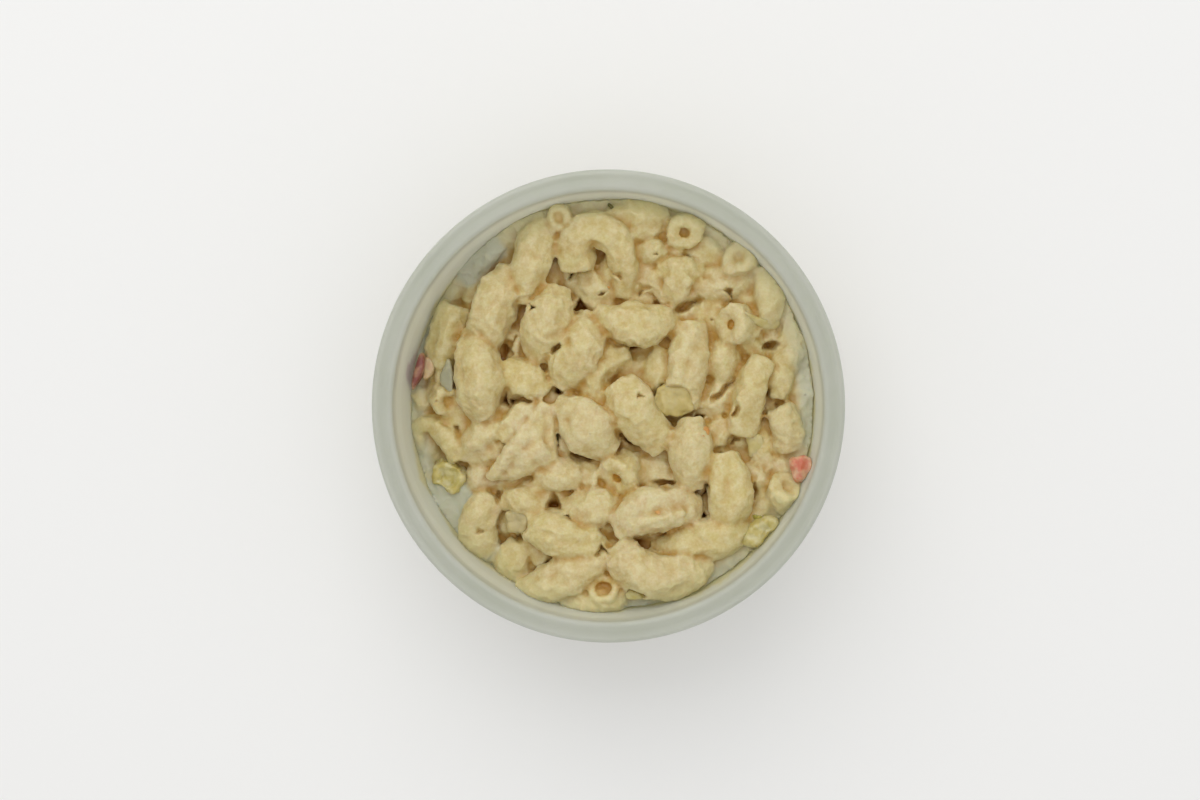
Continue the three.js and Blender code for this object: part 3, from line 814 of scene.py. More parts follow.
    right_side = [
        Elbow(((37.7, 11.1, 6.4, 1), (35.7, 6.7, 7.9, 2), (34.5, 1.2, 8.4, 2), (33.2, -5.2, 7.9, 0.5))),
        Elbow(((43.1, 12.1, 5.4, -0.5), (42.6, 7.6, 6, 0), (42.1, 3.2, 5.4, -0.5))),
        Elbow(((42.4, -0.2, 6.4, 1), (44.1, -4.2, 7.6, 0.5), (44.8, -9.6, 6.9, -0.5)), tail=filled, bore=1),
        Elbow(((44.1, 17.5, 4.4, -1), (45.6, 16, 5.4, -0.5), (46.3, 13, 4.9, -1.5))),
        Elbow(((48, -4.4, 4.4, -1.5), (48.5, -8.1, 4.9, -1.5), (47.5, -11.1, 4.4, -2))),
        Elbow(((41.6, -25.9, 6.4, -3), (42.9, -22.9, 7.9, -0.5), (44.3, -19.7, 8.9, 3)), head=filled,
               bore=1.5, fold=0),
        Elbow(((46.4, -16.5, 5.4, -0.5), (47.4, -20, 4.9, -1))),
        Elbow(((38.9, -15.3, 4.9, -4), (38.2, -14, 5.4, 0)), head=opened, bore=1.1, fold=0),
        Elbow(((28.8, -12.1, 8.4, 2), (29.8, -17, 9.9, 2.5), (30.3, -22.9, 10.3, 2.5), (29.8, -27.3, 7.9, 1)),
               tail=filled, bore=1.2),
        Elbow(((20.9, -4.2, 7.4, 2), (20.9, -8.1, 9.9, 3), (20.4, -13.5, 10.3, 3), (20.4, -18.5, 6.9, 1.5))),
        Elbow(((28.3, -3.7, 5.4, 0), (26.8, -6.7, 6.9, 0.5), (25.9, -9.6, 5.4, -0.5))),
    ]
    near = [
        Elbow(((3.7, -28.8, 8.4, 2), (8.1, -26.4, 10.8, 3), (14, -24.9, 10.3, 3), (19, -24.4, 8.4, 2),
               (22.2, -23.9, 4.5, 1))),
        Elbow(((4.6, -30.6, 1.4, 5.2), (9, -28.4, 1.8, 6.6), (14.4, -27.2, 1.8, 6.6), (19, -25.8, 1.4, 5.4)),
               fold=0),
        Elbow(((11.1, -10.1, 5.4, -2), (12.3, -13.5, 6.4, -1.5), (14, -16.5, 4.9, -2))),
        Elbow(((8.1, -14.3, 6, -0.5), (9.4, -17, 6.4, -0.5), (10.1, -19, 4.9, -1))),
        Elbow(((8.1, -12.1, 8, -3), (5.2, -14.5, 9, -0.5), (2.5, -17.5, 9.6, 3)), head=opened, bore=1.2,
               fold=0),
        Elbow(((-6.7, -15.5, 6, -1), (-4.2, -16.7, 6.9, 0), (-1.7, -17.7, 5.4, 1.5)), head=opened, bore=0.9),
        Elbow(((-16.5, -17.5, 6, 0), (-12.6, -16.5, 8.4, 1), (-7.9, -16.5, 6.9, 0.5))),
        Elbow(((-10.1, -25.9, 6.4, 0), (-5.7, -24.9, 9.4, 1), (-1.2, -24.4, 9.9, 1.5), (1.2, -24.9, 6.9, 0))),
        Elbow(((-24.4, -22.9, 5.4, 0), (-20.9, -23.4, 6.9, 1), (-16.5, -24.9, 6, 0))),
        Elbow(((-18.5, -29.8, 7.4, 2), (-14, -30.8, 10.8, 2.5), (-8.6, -32.8, 9.4, 2.5),
               (-3.7, -33.7, 7.9, 2), (-1, -33.5, 4.5, 1))),
        Elbow(((-28.8, -22.9, 7.4, -0.5), (-31.3, -26.8, 9.4, 1), (-31.3, -31.8, 9.4, 1),
               (-29.3, -36.2, 6.9, -0.5))),
        Elbow(((-21.4, -34.7, 6.4, -0.5), (-23.2, -38.2, 7.9, 0), (-24.4, -42.1, 6, -1.5))),
        Elbow(((-20.9, -45.2, 6, 1), (-15.3, -44.1, 9.6, 2), (-8.6, -41.1, 10.3, 2), (-2.5, -38.2, 7.9, 1.5),
               (-0.2, -36.7, 4.5, 1))),
        Elbow(((-10, -48.3, 5.4, 0), (-4.7, -48.3, 6.4, 1), (0.7, -47.6, 7, 1), (3.7, -45.6, 6, 0))),
        Elbow(((0.2, -48.3, 6.4, -4), (-0.2, -46.8, 7.4, -1), (-1, -44.8, 7.6, 3.2)), head=opened, bore=1.9,
               fold=0),
        Elbow(((3.2, -35.7, 8.4, 1.5), (6.2, -39.7, 11.8, 2.5), (11.8, -42.1, 11.8, 2.5),
               (18.5, -41.1, 10.3, 2), (23.9, -38.2, 6.9, 0.5))),
        Elbow(((11.8, -34.7, 4.4, -0.5), (18, -34.2, 8.4, 0.5), (24.4, -32.8, 10.3, 1), (30.8, -30.3, 8.9, 1),
               (33.7, -27.8, 5.4, 0))),
        Elbow(((15.5, -46.1, 4.4, -2), (21.4, -43.6, 4.4, -2.5), (25.9, -40.1, 4, -3))),
        Elbow(((11.1, -34, 4.9, -1.5), (15, -33.2, 4.9, -2), (18.5, -31.3, 4.9, -2))),
    ]
    return far + left_side + middle + right_side + near


@dataclass(frozen=True)
class Gap:
    """A dark gap between elbows: its place in plan, its half sizes, its heading in degrees and its depth.

    A gap that pierces goes down into the elbow on top of it as well. A narrow gap is a lens, and any other
    is a wedge.
    """

    at: tuple[float, float]
    half: tuple[float, float]
    heading: float = 0.0
    depth: float = 5.0
    pierces: bool = False
    narrow: float = 2.2

    def share(self, x: np.ndarray, y: np.ndarray) -> np.ndarray:
        """How far inside the gap places in plan are, from 0 to 1."""
        turn = math.radians(self.heading)
        along = (x - self.at[0]) * math.cos(turn) + (y - self.at[1]) * math.sin(turn)
        across = -(x - self.at[0]) * math.sin(turn) + (y - self.at[1]) * math.cos(turn)
        u = along / self.half[0]
        v = across / self.half[1]
        if self.half[0] > self.narrow * self.half[1] or self.half[1] > self.narrow * self.half[0]:
            away = np.hypot(u, v)
        else:
            away = np.maximum(-v, 0.5 * v + 0.87 * np.abs(u)) / 0.66
        return 1 - ease(away, 0.4, 1.3)


def gaps_between_elbows() -> list[Gap]:
    """The gaps that go down into the dark, far side first."""
    return [
        Gap((-8.9, 32.5), (1.6, 0.7), 78), Gap((-6.6, 24.9), (1.7, 1.6), 0, 6),
        Gap((-1.1, 28.4), (1.1, 0.5), 20, 3), Gap((-18.6, 24.4), (1.3, 1.1), 40, 5, True),
        Gap((19.7, 25.2), (3.3, 1.2), 26, 5.5, True), Gap((30, 27.9), (1.6, 1.0), -50, 4, True),
        Gap((8.2, 40.2), (2.2, 0.6), 30, 2.5), Gap((6.6, 38.4), (1.9, 0.6), -70, 2.5),
        Gap((18, 37.1), (3.2, 0.8), -5, 3.5), Gap((13.1, 45.6), (1.0, 0.9), 0, 2),
        Gap((8.6, 29), (1.9, 1.4), 40, 2.5), Gap((-13.3, 38.2), (2.2, 0.7), 75, 2.5),
        Gap((-12.4, 14.4), (1.7, 0.75), 45, 4.5, True), Gap((-25.4, 1.4), (1.5, 1.7), 0, 8),
        Gap((-21.4, 1.6), (3.2, 1.0), -12, 6, True), Gap((-11.8, 4), (0.9, 0.9), 0, 6),
        Gap((-24.2, 15.5), (3.0, 1.4), 60, 2.0), Gap((-20.9, 13.5), (2.6, 0.9), 90, 1.8),
        Gap((39.9, 15.3), (2.3, 0.9), 10, 5), Gap((28.2, 3.8), (4.0, 0.85), 40, 4.5, True),
        Gap((22.6, -2.6), (1.7, 0.8), 25, 5), Gap((31.5, -8.1), (1.2, 0.8), 20, 3.5),
        Gap((13.9, -19), (2.8, 1.1), -8, 5, True), Gap((23.9, -27.2), (1.2, 1.4), 0, 6),
        Gap((-13, -24.2), (2.2, 2.3), 0, 5, True), Gap((-9.9, -27.6), (1.0, 0.7), -40, 3, True),
        Gap((-1.1, -35.5), (1.4, 1.2), 0, 5, True), Gap((-14.8, -39.2), (3.9, 0.9), 25, 3.5),
        Gap((-21.1, -32.3), (0.9, 0.9), 0, 4), Gap((-27.1, -22.9), (0.7, 1.6), 0, 3),
        Gap((-13.1, -7.9), (3.2, 0.8), -75, 3), Gap((-5.7, -12.1), (3.4, 0.6), -12, 2.5),
        Gap((6.2, -8.1), (2.0, 0.8), -30, 3), Gap((9.1, -9.2), (1.4, 0.6), -10, 3),
        Gap((24.4, -20.4), (1.6, 0.5), 60, 3), Gap((36.2, -20), (2.6, 0.8), 75, 2.5),
        Gap((-36.9, -5.2), (1.3, 0.9), -40, 3), Gap((5.2, 15.3), (3.4, 0.6), 0, 3, True),
        Gap((1.2, 17.2), (3.4, 0.5), -42, 2), Gap((-44.7, 11.5), (1.0, 1.0), 0, 4),
        Gap((28.2, -11.8), (1.2, 0.6), 10, 2), Gap((17.6, -36.6), (2.2, 0.8), -20, 4),
        Gap((33.8, 9.3), (0.5, 0.8), 0, 2), Gap((31.7, -1.1), (1.7, 0.7), 65, 4, True),
        Gap((41.9, 0.3), (0.9, 0.6), 30, 2.5, True), Gap((2.5, 32.4), (1.0, 0.6), -20, 2, True),
        Gap((8.4, 2.7), (1.1, 0.7), 20, 2, True), Gap((11.9, 37.8), (0.5, 0.5), 0, 2, True),
        Gap((-31.5, -30.9), (1.1, 0.7), 10, 2.2, True), Gap((-42.4, 1.4), (0.7, 0.5), 0, 1.5, True),
        Gap((25.2, 21.4), (0.6, 0.4), 40, 2, True),
    ]


@dataclass
class Relief:
    """Heights of a lumpy top on a plan grid, to tell how sunk a point is below what is round it."""

    points: np.ndarray
    cell: float = 0.6
    reach: float = 56.0
    column: np.ndarray = field(init=False)
    row: np.ndarray = field(init=False)
    heights: np.ndarray = field(init=False)

    def __post_init__(self) -> None:
        """Fills the grid with the highest point of each cell."""
        count = int(2 * self.reach / self.cell)
        places = ((self.points[:, :2] + self.reach) / self.cell).astype(int)
        self.column, self.row = np.clip(places, 0, count - 1).T
        flat = np.full(count * count, -np.inf)
        np.maximum.at(flat, self.row * count + self.column, self.points[:, 2])
        flat[~np.isfinite(flat)] = np.median(self.points[:, 2])
        self.heights = flat.reshape(count, count)

    def sunk(self, radius: float) -> np.ndarray:
        """How far each point lies below the average height within a radius."""
        blurred = self.heights
        half = max(1, int(radius / self.cell / 1.7))
        for axis in (0, 1) * 3:
            blurred = sum(np.roll(blurred, shift, axis) for shift in range(-half, half + 1)) / (2 * half + 1)
        return blurred[self.row, self.column] - self.points[:, 2]


@dataclass
class MacaroniTop:
    """The salad's visible top: elbows and dressing fused into one wet, lumpy skin.

    An edge dip has a bearing and a half width in degrees, a depth and the radius that it starts at. A thin
    spot has the same without the depth. A drawn ridge has a scale, a height, a width and a place in noise.
    """

    mound: Mound
    tub: TubSizes
    voxel: float = 0.36
    sides: int = 20
    step: float = 1.0
    swell: float = 0.26
    squareness: float = 2.1
    bore_depth: float = 1.1
    least_bore: float = 0.45
    under_count: int = 112
    under_lift: float = -1.7
    under_reach: float = 46.0
    usual_lift: float = 1.0
    spread: float = 1.3
    slim: float = 1.07
    under_seed: int = 11
    bed_depth: float = 1.3
    bed_foot: float = 34.0
    bed_sides: int = 144
    bed_rings: int = 48
    pooling: int = 6
    gap_share: float = 0.75
    edge_dips: tuple[tuple[float, float, float, float], ...] = (
        (195, 6, 3.0, 44.0), (241, 6, 4.0, 46.0), (277, 9, 2.4, 48.0), (292, 8, 2.0, 48.0),
        (305, 7, 3.0, 47.5), (357, 8, 4.0, 47.0), (8, 8, 4.0, 46.5), (158, 8, 4.0, 45.5), (180, 7, 4.0, 46.5))
    dip_slope: float = 4.0
    thin_spots: tuple[tuple[float, float, float], ...] = ((132, 9, 45.0), (211, 9, 40.5), (225, 8, 44.0))
    thin_rise: float = 1.6
    thin_slope: float = 3.0
    bank_rise: float = 1.0
    bank_reach: tuple[float, float] = (46.4, 49.6)
    ridges: tuple[tuple[float, float, float, float], ...] = (
        (0.13, 0.4, 0.24, 11.0), (0.26, 0.26, 0.22, 27.0), (0.45, 0.16, 0.2, 43.0))
    wall_clearance: float = 0.06
    most_triangles: int = 192_000
    elbows: list[Elbow] = field(default_factory=seen_from_above)
    bits: list[Bit] = field(default_factory=list)

    def dip(self, x: Plan, y: Plan) -> Plan:
        """How far the salad falls short of its usual level beside the wall."""
        radius = np.hypot(x, y)
        drop = 0.0 * radius
        for middle, half, depth, start in self.edge_dips:
            fall = depth * np.exp(-(off_bearing(x, y, middle) / half) ** 2)
            drop = np.maximum(drop, fall * ease(radius, start, start + self.dip_slope))
        return drop

    def thinned(self, x: Plan, y: Plan) -> Plan:
        """How far places lie in the spots beside the wall that only thin dressing covers, from 0 to 1."""
        radius = np.hypot(x, y)
        share = 0.0 * radius
        for middle, half, start in self.thin_spots:
            facing = 1 - ease(np.abs(off_bearing(x, y, middle)), 0.6 * half, 1.3 * half)
            share = np.maximum(share, facing * ease(radius, start, start + self.thin_slope))
        return share

    def banked(self, x: Plan, y: Plan) -> Plan:
        """How far places lie in the dressing that is banked up along the wall, from 0 to 1."""
        return ease(np.hypot(x, y), *self.bank_reach)

    def under_places(self, draw: np.random.Generator) -> list[tuple[float, float]]:
        """Places in plan that are spread evenly over the tub by a seeded rule."""
        places: list[tuple[float, float]] = []
        spacing = 1.6 * self.tub.mouth_radius / math.sqrt(self.under_count)
        while len(places) < self.under_count and spacing > 1:
            for _ in range(200):
                radius = self.under_reach * math.sqrt(draw.random())
                bearing = draw.uniform(0, 2 * math.pi)
                place = (radius * math.cos(bearing), radius * math.sin(bearing))
                if all(math.dist(place, other) > spacing for other in places):
                    places.append(place)
                if len(places) == self.under_count:
                    break
            spacing *= 0.95
        return places

    def under_layer(self) -> list[Elbow]:
        """Elbows that lie under the ones on top and show only in the gaps."""
        draw = np.random.default_rng(self.under_seed)
        made = []
        for x, y in self.under_places(draw):
            heading = draw.uniform(0, 2 * math.pi)
            half = draw.uniform(6, 8.5)
            bow = draw.uniform(-2.5, 2.5)
            wide = draw.uniform(7.2, 8.8)
            lift = self.under_lift + draw.uniform(-1.5, 1.2)
            ahead = np.array([math.cos(heading), math.sin(heading)])
            aside = np.array([-ahead[1], ahead[0]])
            place = np.array([x, y])
            ends = [place - half * ahead - bow * aside, place, place + half * ahead - bow * aside]
            if any(self.dip(*end) > 1.2 or self.thinned(*end) > 0.35 for end in ends):
                continue
            head = End.FILLED if draw.random() < 0.35 else End.CAPPED
            tapers = zip(ends, (0.8, 1, 0.8), (1.2, 0, 1.2))
            route = tuple((*end, wide * share, lift - fall) for end, share, fall in tapers)
            made.append(Elbow(route, head=head, bore=1.4))
        return made

    def middle_line(self, elbow: Elbow, step: float) -> np.ndarray:
        """Rows of place and width down the middle of an elbow, in the frame."""
        rows = []
        for x, y, wide, lift in elbow.sampled(step):
            level = float(self.mound.level(x, y)) + self.spread * (lift - self.usual_lift) + self.usual_lift
            rows.append((*self.mound.under_sight(x, y, level), self.slim * wide))
        return np.array(rows)

    def end_rings(self, elbow: Elbow, end: End, size: float) -> list[tuple[float, float]]:
        """Rings that close an end, as distance past it and radius, from outside in."""
        if end is End.CAPPED:
            dome = ((0.18, 0.98), (0.33, 0.86), (0.42, 0.5), (0.42, 0.0))
            return [(past * size, radius * size) for past, radius in dome]
        bore = max(elbow.bore - self.swell, self.least_bore)
        lip = [(0.12 * size, 0.93 * size), (0.22 * size, 0.78 * size), (0.22 * size, 0.4 * size + 0.6 * bore)]
        if end is End.FILLED:
            return lip + [(0.1 * size, 1.12 * bore), (-0.2, 0.85 * bore), (-0.2, 0.0)]
        depth = self.bore_depth * elbow.bore**1.8
        return lip + [(0.08 * size, 1.12 * bore), (-0.5 * depth, bore), (-depth, 0.8 * bore), (-depth, 0.0)]

    def frames(self, line: np.ndarray) -> list[tuple[np.ndarray, np.ndarray, np.ndarray]]:
        """Along, side and upward directions down a line, with no twist between them."""
        ahead = np.gradient(line[:, :3], axis=0)
        ahead /= np.linalg.norm(ahead, axis=1)[:, None]
        tangents = [Vector(t) for t in ahead]
        level = int(np.argmin(np.abs(ahead[:, 2])))
        sides = {level: Vector((0, 0, 1)).cross(tangents[level]).normalized()}
        order = [(i - 1, i) for i in range(level + 1, len(tangents))]
        order += [(i + 1, i) for i in range(level - 1, -1, -1)]
        for known, here in order:
            sides[here] = tangents[known].rotation_difference(tangents[here]) @ sides[known]
        ups = [t.cross(sides[i]) for i, t in enumerate(tangents)]
        return [(np.array(t), np.array(sides[i]), np.array(ups[i])) for i, t in enumerate(tangents)]

    def shape(self, elbow: Elbow, draw: np.random.Generator) -> Shell:
        """One elbow in its place, swollen by what the dressing takes off again.

        Args:
            elbow: The elbow.
            draw: The source of its unevenness.

        Returns:
            Its closed skin.
        """
        line = self.middle_line(elbow, self.step)
        frames = self.frames(line)
        angles = circle(self.sides)
        fold = draw.uniform(0.15 * math.pi, 0.85 * math.pi)
        squash = draw.uniform(-0.06, 0.06)
        seed = draw.uniform(-50, 50, 3)
        end_on = elbow.fold == 0 and elbow.head is not End.CAPPED
        corner = 2.05 if end_on else self.squareness + draw.uniform(-0.25, 0.35)
        full = (np.abs(np.cos(angles)) ** corner + np.abs(np.sin(angles)) ** corner) ** (-1 / corner)
        cross = full * np.cos(angles) * (1 + squash)
        rise = full * np.sin(angles) * (1 - elbow.flat)
        off = np.arctan2(np.sin(angles - fold), np.cos(angles - fold))
        most = len(line) - 1

        def unevenness(place: float, scale: float, size: float, shift: np.ndarray) -> np.ndarray:
            """Noise round one ring."""
            return np.array([noise.noise(Vector((place * scale + shift[0], size * math.cos(a) + shift[1],
                                                 size * math.sin(a) + shift[2]))) for a in angles])

        def ring(number: int, past: float, radius: float, rough: float = 1.0) -> np.ndarray:
            """The points of one ring, moved along from a station."""
            along, side, up = frames[number]
            place = number * self.step + past
            lump = unevenness(place, 0.17, 1.2, seed)
            knob = unevenness(place, 0.36, 1.9, seed[[1, 2, 0]])
            share = number / most
            middling = float(ease(share, 0.05, 0.35) * (1 - ease(share, 0.65, 0.95)))
            dent = 0.34 * elbow.fold * middling * np.exp(-(off / 0.38) ** 2)
            reach = radius * (1 + rough * (0.19 * lump + 0.09 * knob - dent))
            middle = line[number, :3] + past * along
            return middle + (reach * cross)[:, None] * side + (reach * rise)[:, None] * up

        sizes = line[:, 3] / 2 + self.swell
        tail = self.end_rings(elbow, elbow.tail, sizes[0])[::-1]
        head = self.end_rings(elbow, elbow.head, sizes[-1])
        return skin_of_rings([ring(0, -past, radius, 0.6) for past, radius in tail]
                             + [ring(i, 0, size) for i, size in enumerate(sizes)]
                             + [ring(most, past, radius, 0.6) for past, radius in head])

    def bed(self) -> Shell:
        """The dressing and buried elbows that those on top lie in: a lumpy slab that fills the tub."""
        angles = circle(self.bed_sides)
        foot = self.tub.inner_radius(self.bed_foot) - self.tub.gap
        rings = [ring_at(angles, 0.0, self.bed_foot), ring_at(angles, foot, self.bed_foot)]
        reach = self.tub.inner_radius(self.mound.crown + 2)
        for share in np.linspace(1, 0, self.bed_rings):
            flat = ring_at(angles, reach * share, 0.0)
            x, y = flat[:, 0], flat[:, 1]
            lumps = noise_at(flat, 0.16, (0, 0, 3)) + 0.5 * noise_at(flat, 0.34, (0, 0, 9))
            usual = self.mound.level(x, y)
            level = usual - self.bed_depth + 1.7 * lumps - self.dip(x, y)
            bank = usual + self.bank_rise + 0.9 * lumps - 0.45 * self.dip(x, y)
            level += self.banked(x, y) * np.clip(bank - level, 0, None)
            level += self.thinned(x, y) * (usual + self.thin_rise + 0.4 * lumps - level)
            rings.append(ring_at(angles, reach * share, np.maximum(level, self.bed_foot + 0.6)))
        return skin_of_rings(rings)

    def build(self) -> MeshPiece:
        """Lays the elbows, fuses them, and lets the dressing settle in the creases."""
        draw = np.random.default_rng(self.under_seed + 1)
        everything = self.elbows + self.under_layer()
        shells = [self.shape(elbow, draw) for elbow in everything]
        piece = MeshPiece("macaroni_top", joined([self.bed(), *shells]))
        piece.remesh(self.voxel)
        piece.settle(3, 0.5)
        piece.points = piece.points - self.swell * piece.averaged(piece.normals, 1, 0.5)
        piece.settle(1, 0.3)
        self.pool(piece)
        self.sharpen(piece)
        self.open_gaps(piece)
        self.roughen(piece)
        self.make_room(piece)
        self.tub.press_in(piece, self.wall_clearance)
        piece.thin_out(self.most_triangles)
        self.mark(piece, everything)
        return piece

    def pool(self, piece: MeshPiece) -> None:
        """Fills the creases with dressing: only hollow places move, and only outwards."""
        points = piece.points
        share = 0.85 * ease(noise_at(points, 0.085), 0.0, 0.4)
        for _ in range(self.pooling):
            rise = share * np.clip(piece.hollowness(points, 1), 0, None)
            points = points + piece.normals * rise[:, None]
            piece.points = points

    def sharpen(self, piece: MeshPiece) -> None:
        """Cuts the creases between pieces deeper."""
        points = piece.points
        shift = -1.2 * np.clip(piece.hollowness(points, 5), 0, 0.3)
        piece.points = points + piece.normals * piece.averaged(shift, 1, 0.5)[:, None]

    def open_gaps(self, piece: MeshPiece) -> None:
        """Sinks the surface where a gap goes down between the elbows."""
        points = piece.points
        x, y = self.mound.plan_of(points)
        x = x + 0.8 * noise_at(np.column_stack([x, y, 0 * x]), 0.45, (0, 0, 1))
        y = y + 0.8 * noise_at(np.column_stack([x, y, 0 * x]), 0.45, (0, 0, 5))
        upper = points[:, 2] > self.bed_foot + 2
        drop = np.zeros(len(points))
        low = ease(-self.mound.over(points), -4.0, -1.0)
        for gap in gaps_between_elbows():
            share = gap.share(x, y)
            drop = np.maximum(drop, self.gap_share * gap.depth * share * (1 if gap.pierces else low))
        points[:, 2] -= np.where(upper, drop, 0)
        points[:, 2] = np.maximum(points[:, 2], self.bed_foot + 0.5 * ~upper)
        piece.points = piece.averaged(points, 1, 0.3)

    def roughen(self, piece: MeshPiece) -> None:
        """Adds the small lumps of the dressing, and the thin ridges that it is drawn out to."""
        points = piece.points
        shift = 0.3 * noise_at(points, 0.16) + 0.28 * noise_at(points, 0.45) + 0.17 * noise_at(points, 0.95)
        for scale, height, width, place in self.ridges:
            away = np.abs(noise_at(points, scale, (place, 0, 0)))
            drawn = noise_at(points, 0.1, (0, place, 0))
            shift = shift + height * np.clip(1 - away / width, 0, 1) ** 1.5 * ease(drawn, -0.15, 0.25)
        piece.points = points + piece.normals * shift[:, None]

    def make_room(self, piece: MeshPiece) -> None:
        """Lowers the surface under each bit of vegetable to a little over the bit's underside."""
        points = piece.points
        x, y = self.mound.plan_of(points)
        for bit in self.bits:
            slope = (x - bit.middle[0]) * bit.slopes[0] + (y - bit.middle[1]) * bit.slopes[1]
            ceiling = bit.level + slope - min(0.5 * bit.thick, 0.9)
            over = np.where(points[:, 2] > self.bed_foot + 1, np.clip(points[:, 2] - ceiling, 0, None), 0)
            points[:, 2] -= bit.holds(x, y, 0.92) * over
        piece.points = points

    def mark(self, piece: MeshPiece, elbows: Sequence[Elbow]) -> None:
        """Stores for the finish what each point belongs to, how creased it is and how deep it lies, as masks
        for painted shade, painted highlights and painted light.
        """
        points = piece.points
        self.mark_elbows(piece, points, elbows)
        # How hollow each point is: painted shade in the creases and a painted highlight on the ridges.
        crease = piece.hollowness(points, 7)
        piece.keep(crease=piece.averaged(ease(crease, 0.03, 0.32), 1),
                   ridge=piece.averaged(ease(-crease, 0.03, 0.26), 1))
        x, y = points[:, 0], points[:, 1]
        radius = np.hypot(x, y)
        over = self.mound.over(points)
        # Painted light beside the wall: low spots, thin spots and banked dressing there take the pale grey of
        # the lit plastic, and the whole edge is lightened.
        low = (1 - ease(over, -3.5, 0.0)) * ease(radius, 45.5, 49)
        shallow = ease(self.thinned(x, y), 0.2, 0.7)
        shallow = shallow * (1 - ease(over, self.thin_rise + 0.9, self.thin_rise + 2.4))
        dip = self.dip(x, y)
        edge = self.banked(x, y) * (1 - ease(over + 0.45 * dip, 1.4, 3.2))
        edge = edge * (0.35 + 0.55 * ease(dip, 0.3, 2.0))
        misty = np.maximum(np.maximum(low, shallow), edge)
        piece.keep(mist=piece.averaged(misty, 1), haze=ease(radius, 44.5, 51))
        # Painted shade in valleys, deep gaps and wide pits, faded out near the wall, where light comes
        # through the plastic.
        clear = 1 - ease(radius, 44.5, 49)
        relief = Relief(points)
        bore, pit = self.bore_marks(points, elbows)
        piece.keep(sunk=clear * ease(relief.sunk(4.5), 1.5, 5.0),
                   depth=np.maximum(pit, clear * ease(relief.sunk(5.0), 3.6, 6.5)),
                   bore=piece.averaged(bore, 1))

    def mark_elbows(self, piece: MeshPiece, points: np.ndarray, elbows: Sequence[Elbow]) -> None:
        """Stores a tone for each elbow, and how far out in the dressing each point lies."""
        lines = [(row, number) for number, elbow in enumerate(elbows) for row in self.middle_line(elbow, 2.5)]
        tree = kdtree.KDTree(len(lines))
        for place, (row, _) in enumerate(lines):
            tree.insert(row[:3], place)
        tree.balance()
        tones = np.random.default_rng(5).uniform(-1, 1, len(elbows))
        nearest = [tree.find(p) for p in points]
        owner = np.array([lines[hit[1]][1] for hit in nearest])
        half = np.array([lines[hit[1]][0][3] / 2 for hit in nearest])
        away = np.array([hit[2] for hit in nearest])
        piece.keep(tone=piece.averaged(tones[owner], 2),
                   coat=piece.averaged(ease(away / half, 0.95, 1.35), 1))

    def bore_marks(self, points: np.ndarray, elbows: Sequence[Elbow]) -> tuple[np.ndarray, np.ndarray]:
        """How far points lie in hollow ends, for a yellow tint with painted shade, and deep in the wide ones,
        for painted dark shade.
        """
        inside = np.zeros(len(points))
        pit = np.zeros(len(points))
        for elbow in elbows:
            line = self.middle_line(elbow, self.step)[:, :3]
            for end, tip, inner in ((elbow.tail, line[0], line[1]), (elbow.head, line[-1], line[-2])):
                if end is End.CAPPED:
                    continue
                strength = min(1.0, 1.3 / elbow.bore) if end is End.OPEN else 0.3
                axis = (tip - inner) / np.linalg.norm(tip - inner)
                along = (points - tip) @ axis
                across = np.linalg.norm(points - tip - along[:, None] * axis, axis=1)
                within = 1 - ease(across, elbow.bore * 0.9, elbow.bore * 1.35)
                within = within * (along < 0.9) * (along > -8)
                inside = np.maximum(inside, strength * within * ease(along, 0.9, -0.4))
                wide = 1.2 * strength**2 * ease(elbow.bore, 1.5, 1.8)
                pit = np.maximum(pit, wide * within * ease(along, 0.2, -0.8))
        return inside, pit


